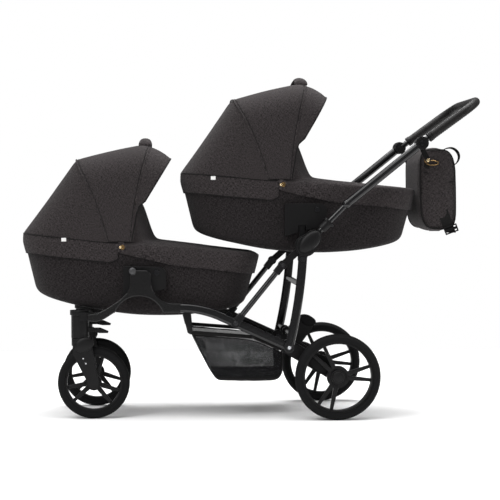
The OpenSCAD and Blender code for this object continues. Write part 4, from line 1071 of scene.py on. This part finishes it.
# %% Bag trims
SEAMS = (("pocket", 0.652, 0.0085, 0.806, 0.004, 6), ("flap", 0.588, 0.018, 0.838, 0.006, 3))
for side, name in SIDES:
    loop = [Vector((x, side * 0.1455, z)) for x, y, z in bag_section(0, 0.955)]
    fit(piping(f"bag_end_piping_{name}", loop, 0.0026, closed=True), binding, "bag")
    for part, x0, step, z0, sag, count in SEAMS:
        seam = [Vector((x0 + step * k, side * 0.1512, z0 - sag * math.sin(math.pi * k / count)))
                for k in range(count + 1)]
        fit(piping(f"bag_{part}_seam_{name}", seam, 0.0016), binding, "bag")
zip_line = [Vector((0.640, -0.125 + 0.025 * k, 0.9205 - 0.0025 * abs(k - 5) / 5)) for k in range(11)]
teeth = stitches("bag_zip", zip_line, length=0.004, step=0.0045, radius=0.0022)
fit(teeth, gunmetal, "bag")

HAND_LOOP = ((0.664, 0.914), (0.686, 0.923), (0.706, 0.918), (0.720, 0.902), (0.722, 0.884), (0.714, 0.868),
             (0.699, 0.858))
LOOP_WIDTH = 0.022
across = Vector((0.2, -0.95, 0.2)) * LOOP_WIDTH / 2
path = [Vector((x, -0.118, z)) for x, z in HAND_LOOP]
strap = cloth_grid("bag_hand_loop", [[p - across, p, p + across] for p in path])
sew(strap, 0.003)
fit(strap, webbing, "bag")
print("bag seams, zip and hand loop")

# %% [markdown]
# The strap hangs from a wire ring and ends in a ladder buckle. For the buckle a two-face grid is inset face
# by face and the two inner faces are deleted. What is left is a frame with a middle bar, which Solidify and
# Bevel turn into a moulding.

# %% Buckle and strap rings
bpy.ops.mesh.primitive_grid_add(x_subdivisions=1, y_subdivisions=2, size=1, location=(0.6868, -0.1568, 0.640),
                                rotation=(math.radians(90), math.radians(-20), 0))
bpy.context.object.scale = (0.047, 0.027, 1)
buckle = begin("strap_buckle_left")
edit_all("FACE")
bpy.ops.mesh.inset(thickness=0.0045, use_individual=True)
bpy.ops.mesh.delete(type="FACE")
edit_done()
apply_modifier(buckle, "SOLIDIFY", thickness=0.005, offset=0)
apply_modifier(buckle, "BEVEL", width=0.0011, segments=3)
buckle.data.shade_smooth()
fit(buckle, moulding_dark, "bag")
for side, name in SIDES:
    turns = [math.tau * k / 32 for k in range(32)]
    ring = [Vector((0.621 + 0.021 * math.cos(a), side * 0.1562, 0.868 + 0.008 * math.sin(a))) for a in turns]
    fit(piping(f"strap_ring_{name}", ring, 0.0017, closed=True), bronze, "bag")
print("a ladder buckle and two strap rings")

# %% [markdown]
# ## Domed heads
# Rivet heads, wheel caps and the arch studs are all shallow domes. Each starts as a ball, is cut in half
# with a bisect and pressed flat. The CAD solid below carries the fit, and the dome gives it the round
# highlight of a pressed head.

# %% Domes
def dome(name, place, radius, height, side):
    """A shallow dome on the plane y = place.y that bulges to the given side."""
    bpy.ops.mesh.primitive_uv_sphere_add(segments=40, ring_count=20, radius=radius, location=place,
                                         rotation=UPRIGHT)
    obj = begin(name)
    edit_all()
    bpy.ops.mesh.bisect(plane_co=place, plane_no=(0, side, 0), use_fill=True, clear_inner=True)
    bpy.ops.mesh.select_all(action="SELECT")
    stretch((1, height / radius, 1), place)
    edit_done()
    bpy.ops.object.shade_smooth_by_angle(angle=SMOOTH_ANGLE)
    return obj


FOOT_JOINT = Vector((0.120, 0.24286))
HINGE = Vector((0.183, 0.595))
BRACE_LOW = FOOT_JOINT + 0.180 * Vector((-1, math.tan(math.radians(24.5))))
BRACE_TOP = HINGE + Vector((-0.084, -0.074))
STUD = (-0.0715, 0.2055, 0.232)
for side, name in SIDES:
    heads = [
        ("foot_rivet", (FOOT_JOINT.x, 0.254, FOOT_JOINT.y), 0.0060, 0.0030, zinc, "chassis", "steel"),
        ("brace_low_rivet", (BRACE_LOW.x, 0.24005, BRACE_LOW.y), 0.0060, 0.0030, steel, "chassis", "steel"),
        ("brace_top_rivet", (BRACE_TOP.x, 0.24005, BRACE_TOP.y), 0.0060, 0.0030, steel, "chassis", "steel"),
        ("arch_stud", (-0.4065, 0.231, 0.502), 0.0118, 0.0055, satin, "chassis", "steel"),
        ("hanger_stud", (0.597, 0.2052, 0.876), 0.0055, 0.0018, pale_gold, "bag", "bronze"),
        ("rear_stud", at_cot("rear", STUD), 0.0042, 0.0016, pale_gold, "rear_cot", "bronze"),
        ("front_stud", at_cot("front", STUD), 0.0042, 0.0016, pale_gold, "front_cot", "bronze"),
        ("rear_cap", (0.283, 0.288, 0.145), 0.0188, 0.0042, moulding, f"rear_wheel_{name}", "moulding"),
    ]
    for part, (x, y, z), radius, height, mat, body, slot in heads:
        fit(dome(f"{part}_{name}", (x, side * y, z), radius, height, side), mat, body)
print("domed heads on both sides")

# %% [markdown]
# ## Hangers, spokes and brake
# Hangers and spokes are nylon bars. Each starts as a cube that is pressed to a bar; one end is drawn
# narrower and the edges are rounded with a Bevel modifier. A hanger carries each front corner of the basket.

# %% Bars
def soften(obj, width, segments=3):
    """Rounds the edges of a moulding and shades it smooth."""
    apply_modifier(obj, "BEVEL", width=width, segments=segments, limit_method="ANGLE")
    bpy.ops.object.shade_smooth_by_angle(angle=SMOOTH_ANGLE)


def bar(name, length, thick, start, end, edge):
    """A bar along x from the origin, its height going from start to end."""
    middle = (length / 2, 0, 0)
    bpy.ops.mesh.primitive_cube_add(size=1, location=middle)
    obj = begin(name)
    edit_all()
    stretch((length, thick, start), middle)
    edit_done()
    for v in obj.data.vertices:
        v.select = v.co.x > length / 2
    for item in list(obj.data.edges) + list(obj.data.polygons):
        item.select = all(obj.data.vertices[i].select for i in item.vertices)
    bpy.ops.object.mode_set(mode="EDIT")
    bpy.ops.mesh.select_mode(type="VERT")
    stretch((1, 1, end / start), (length, 0, 0))
    bpy.ops.mesh.select_all(action="SELECT")
    bpy.ops.mesh.subdivide(number_cuts=3)
    edit_done()
    soften(obj, edge)
    return obj


def turn_to(obj, place, degrees):
    """Turns a piece from +x to an angle up from it and moves its origin to a place."""
    spin = Matrix.Rotation(math.radians(-degrees), 4, "Y")
    obj.data.transform(Matrix.Translation(place) @ spin)


for side, name in SIDES:
    hanger = bar(f"basket_hanger_{name}", 0.086, 0.013, 0.031, 0.018, 0.004)
    turn_to(hanger, (-0.2265, side * 0.1935, 0.3755), -80)
    fit(hanger, moulding, "chassis")
print("two basket hangers")

# %% [markdown]
# A rounded cap covers the outer side of each fork crown, with two small rivets in the leg below it. The
# cap is pulled out of a ball in the same way as the domes.

# %% Fork caps
for side, name in SIDES:
    cap = dome(f"fork_cap_{name}", (0, 0, 0), 0.034, 0.007, side)
    edit_all()
    stretch((1, 1, 0.72))
    edit_done()
    turn_to(cap, (-0.569, side * 0.2032, 0.252), 25)
    fit(cap, moulding, f"swivel_{name}")
    for number, x, z in ((1, -0.5725, 0.206), (2, -0.5640, 0.189)):
        rivet = dome(f"fork_rivet_{number}_{name}", (x, side * 0.2035, z), 0.0028, 0.0014, side)
        fit(rivet, zinc, f"swivel_{name}")
print("fork caps and rivets")

# %% [markdown]
# Each wheel has three pairs of spokes. One moulded spoke cover is made for a wheel and copied to the six
# places; the six are joined to one piece that turns with the wheel.

# %% Spoke covers
HUB_RADIUS = 0.026


def span(obj, axis):
    """Lowest and highest place of a mesh along one axis."""
    places = [v.co[axis] for v in obj.data.vertices]
    return min(places), max(places)


def make_spokes(end, side, first, spread):
    rim = frame["nodes"][f"{end}_rim_{side}"]
    tyre = frame["nodes"][f"{end}_tyre_{side}"]
    spans = (span(rim, 0), span(tyre, 1), span(rim, 2))
    centre = Vector([(low + high) / 2 for low, high in spans])
    reach = (spans[0][1] - spans[0][0]) / 2 - 0.005
    name = f"{end}_spokes_{side}"
    first_bar = bar(name, reach - HUB_RADIUS, 0.0144, 0.0165, 0.0105, 0.003)
    bars = [first_bar] + [twin_of(first_bar, f"{name}_{k}") for k in range(5)]
    angles = [first + 120 * k + s * spread for k in range(3) for s in (-1, 1)]
    for obj, angle in zip(bars, angles):
        c, s = around(angle)
        turn_to(obj, centre + HUB_RADIUS * Vector((c, 0, s)), angle)
    select_only(first_bar)
    for obj in bars:
        obj.select_set(True)
    bpy.ops.object.join()
    fit(first_bar, moulding, f"{end}_wheel_{side}")


for side in ("left", "right"):
    make_spokes("rear", side, 6.5, 12)
    make_spokes("front", side, 86, 16)
print("spoke covers on four wheels")

# %% [markdown]
# The brake pedal ends in a soft pad for the foot, a ribbed drum across the pedal. It is a cylinder whose
# faces are inset and pushed out. Beside each rear wheel an oval housing, cut from a ball, covers the
# spring and the brake.

# %% Pedal pad and spring housings
def ball(name, size):
    """A ball stretched to the given half sizes, left open in edit mode."""
    bpy.ops.mesh.primitive_uv_sphere_add(segments=48, ring_count=24, radius=1, rotation=UPRIGHT)
    obj = begin(name)
    edit_all()
    stretch(size)
    return obj


def drum(name, inset, push, **sizes):
    """A cylinder with inset faces that are pushed out or in."""
    bpy.ops.mesh.primitive_cylinder_add(vertices=48, **sizes)
    obj = begin(name)
    for face in obj.data.polygons:
        face.select = len(face.vertices) > 4
    bpy.ops.object.mode_set(mode="EDIT")
    bpy.ops.mesh.select_mode(type="FACE")
    bpy.ops.mesh.inset(thickness=inset, depth=push, use_individual=True)
    edit_done()
    return obj


pad = drum("brake_pedal_pad", 0.18, 0.06, radius=1, depth=2, rotation=UPRIGHT)
edit_all()
stretch((0.027, 0.046, 0.0165))
edit_done()
soften(pad, 0.002)
turn_to(pad, (0.2045, 0, 0.3175), -14)
fit(pad, tyre_foam, "brake_pedal")
for side, name in SIDES:
    housing = ball(f"spring_housing_{name}", (0.052, 0.011, 0.030))
    for cut in (-1, 1):
        bpy.ops.mesh.select_all(action="SELECT")
        bpy.ops.mesh.bisect(plane_co=(0, cut * 0.0085, 0), plane_no=(0, cut, 0), use_fill=True,
                            clear_outer=True)
    edit_done()
    soften(housing, 0.0015, 2)
    turn_to(housing, (0.226, side * 0.2265, 0.186), -31)
    fit(housing, moulding_dark, "chassis")
print("pedal pad and spring housings")

# %% [markdown]
# ## Fold hinge shells
# The oval shell over the fold hinge is the chassis' showpiece. We pull it out of a ball: stretch it along
# the handle tube, narrow it in three steps and cut it off where it meets the housing.

# %% Hinge shells
def make_hinge_shell(side, name):
    shell = ball(f"hinge_shell_{name}", (0.0452, 0.010, 0.0312))
    for place, narrow in ((0.004, 0.96), (0.016, 0.94), (0.028, 0.93)):
        edit_done()
        for v in shell.data.vertices:
            v.select = v.co.x > place
        bpy.ops.object.mode_set(mode="EDIT")
        bpy.ops.mesh.select_mode(type="VERT")
        stretch((1, 1, narrow))
    bpy.ops.mesh.select_all(action="SELECT")
    bpy.ops.mesh.bisect(plane_co=(0, 0, 0), plane_no=(0, side, 0), use_fill=True, clear_inner=True)
    edit_done()
    middle = HINGE + 0.0065 * Vector(around(45))
    shell.rotation_euler = (0, math.radians(-45), 0)
    shell.location = (middle.x, side * 0.2650, middle.y)
    bpy.ops.object.transform_apply(location=True, rotation=True, scale=True)
    apply_modifier(shell, "SMOOTH", factor=0.4, iterations=2)
    bpy.ops.object.shade_smooth_by_angle(angle=math.radians(50))
    fit(shell, moulding, "chassis")


for side, name in SIDES:
    make_hinge_shell(side, name)
print("two hinge shells")

# %% [markdown]
# ## Handle bar trims
# The leather grip ends in a moulded collar on each arm, and a line of stitching closes the leather along
# its underside. A collar is a cylinder with inset faces that are pushed in, and with bevelled edges.

# %% Handle bar trims
HUB = Vector((0.569, 0.932))
BAR_C, BAR_S = around(36)
BAR_ALONG = Vector((BAR_C, 0, BAR_S))
BAR_UP = Vector((-BAR_ALONG.z, 0, BAR_ALONG.x))


def on_bar(along, y, up=0.0):
    return Vector((HUB.x, y, HUB.y)) + BAR_ALONG * along + BAR_UP * up


for side, name in SIDES:
    collar = drum(f"grip_collar_{name}", 0.0035, -0.0012, radius=0.0166, depth=0.015,
                  location=on_bar(0.041, side * 0.216), rotation=(0, math.radians(54), 0))
    soften(collar, 0.0012)
    fit(collar, moulding, "handle_bar")

half = [(0.055 + 0.012 * k, 0.216) for k in range(11)]
for a in range(0, 91, 6):
    c, s = around(a)
    half.append((0.175 + 0.075 * s, 0.141 + 0.075 * c))
under = [on_bar(s, -y, -0.0153) for s, y in half] + [on_bar(s, y, -0.0153) for s, y in reversed(half)]
seam = stitches("grip_stitches", under, length=0.005, step=0.008, radius=0.0008)
fit(seam, thread, "handle_bar")
print("grip collars and stitching")

# %% [markdown]
# ## Stage, light and camera
# The photo has a plain white studio. A pale floor, a white world, a broad sun overhead and three soft
# boxes give the same even light, with long highlights along the tubes.

# %% Stage, light and camera
scene = bpy.context.scene
scene.view_settings.view_transform = "Standard"
bpy.ops.mesh.primitive_plane_add(size=4.4, location=(0, 0, 0))
floor = bpy.context.object
floor.name = "studio_floor"
floor.data.materials.append(new_material("studio_floor", (0.9, 0.9, 0.9), 0.9)[0])

world = bpy.data.worlds.new("studio")
world.use_nodes = True
tree = world.node_tree
backdrop = tree.nodes["Background"]
backdrop.inputs["Color"].default_value = (1, 1, 1, 1)
ambient = node(tree, "ShaderNodeBackground", Color=(1, 1, 1, 1), Strength=0.32)
seen = node(tree, "ShaderNodeLightPath")
choice = node(tree, "ShaderNodeMixShader")
tree.links.new(seen.outputs["Is Camera Ray"], choice.inputs["Fac"])
tree.links.new(ambient.outputs["Background"], choice.inputs[1])
tree.links.new(backdrop.outputs["Background"], choice.inputs[2])
tree.links.new(choice.outputs["Shader"], tree.nodes["World Output"].inputs["Surface"])
scene.world = world

sun = bpy.data.objects.new("ceiling", bpy.data.lights.new("ceiling", "SUN"))
sun.data.energy = 3.0
sun.data.angle = math.radians(70)
sun.rotation_euler = (math.radians(12), math.radians(-14), 0)
bpy.context.collection.objects.link(sun)


def softbox(name, place, aim, size, power):
    light = bpy.data.lights.new(name, "AREA")
    light.shape = "RECTANGLE"
    light.size, light.size_y = size
    light.energy = power
    obj = bpy.data.objects.new(name, light)
    obj.location = place
    obj.rotation_euler = (Vector(aim) - Vector(place)).to_track_quat("-Z", "Y").to_euler()
    bpy.context.collection.objects.link(obj)


softbox("key", (-2.2, -2.6, 2.6), (0, 0, 0.6), (0.9, 2.4), 40)
softbox("top", (0.4, 0.6, 3.0), (0, 0, 0.5), (2.6, 0.7), 80)
softbox("side", (3.0, -1.2, 1.6), (0, 0, 0.6), (0.5, 2.2), 30)

camera = bpy.data.objects.new("camera", bpy.data.cameras.new("camera"))
camera.data.lens = 113.6
camera.data.sensor_width = 36
camera.location = (-0.354, -5.53, 0.733)
camera.rotation_euler = (Vector((0.0035, 0, 0.565)) - camera.location).to_track_quat("-Z", "Y").to_euler()
bpy.context.collection.objects.link(camera)
scene.camera = camera
print("stage is set")
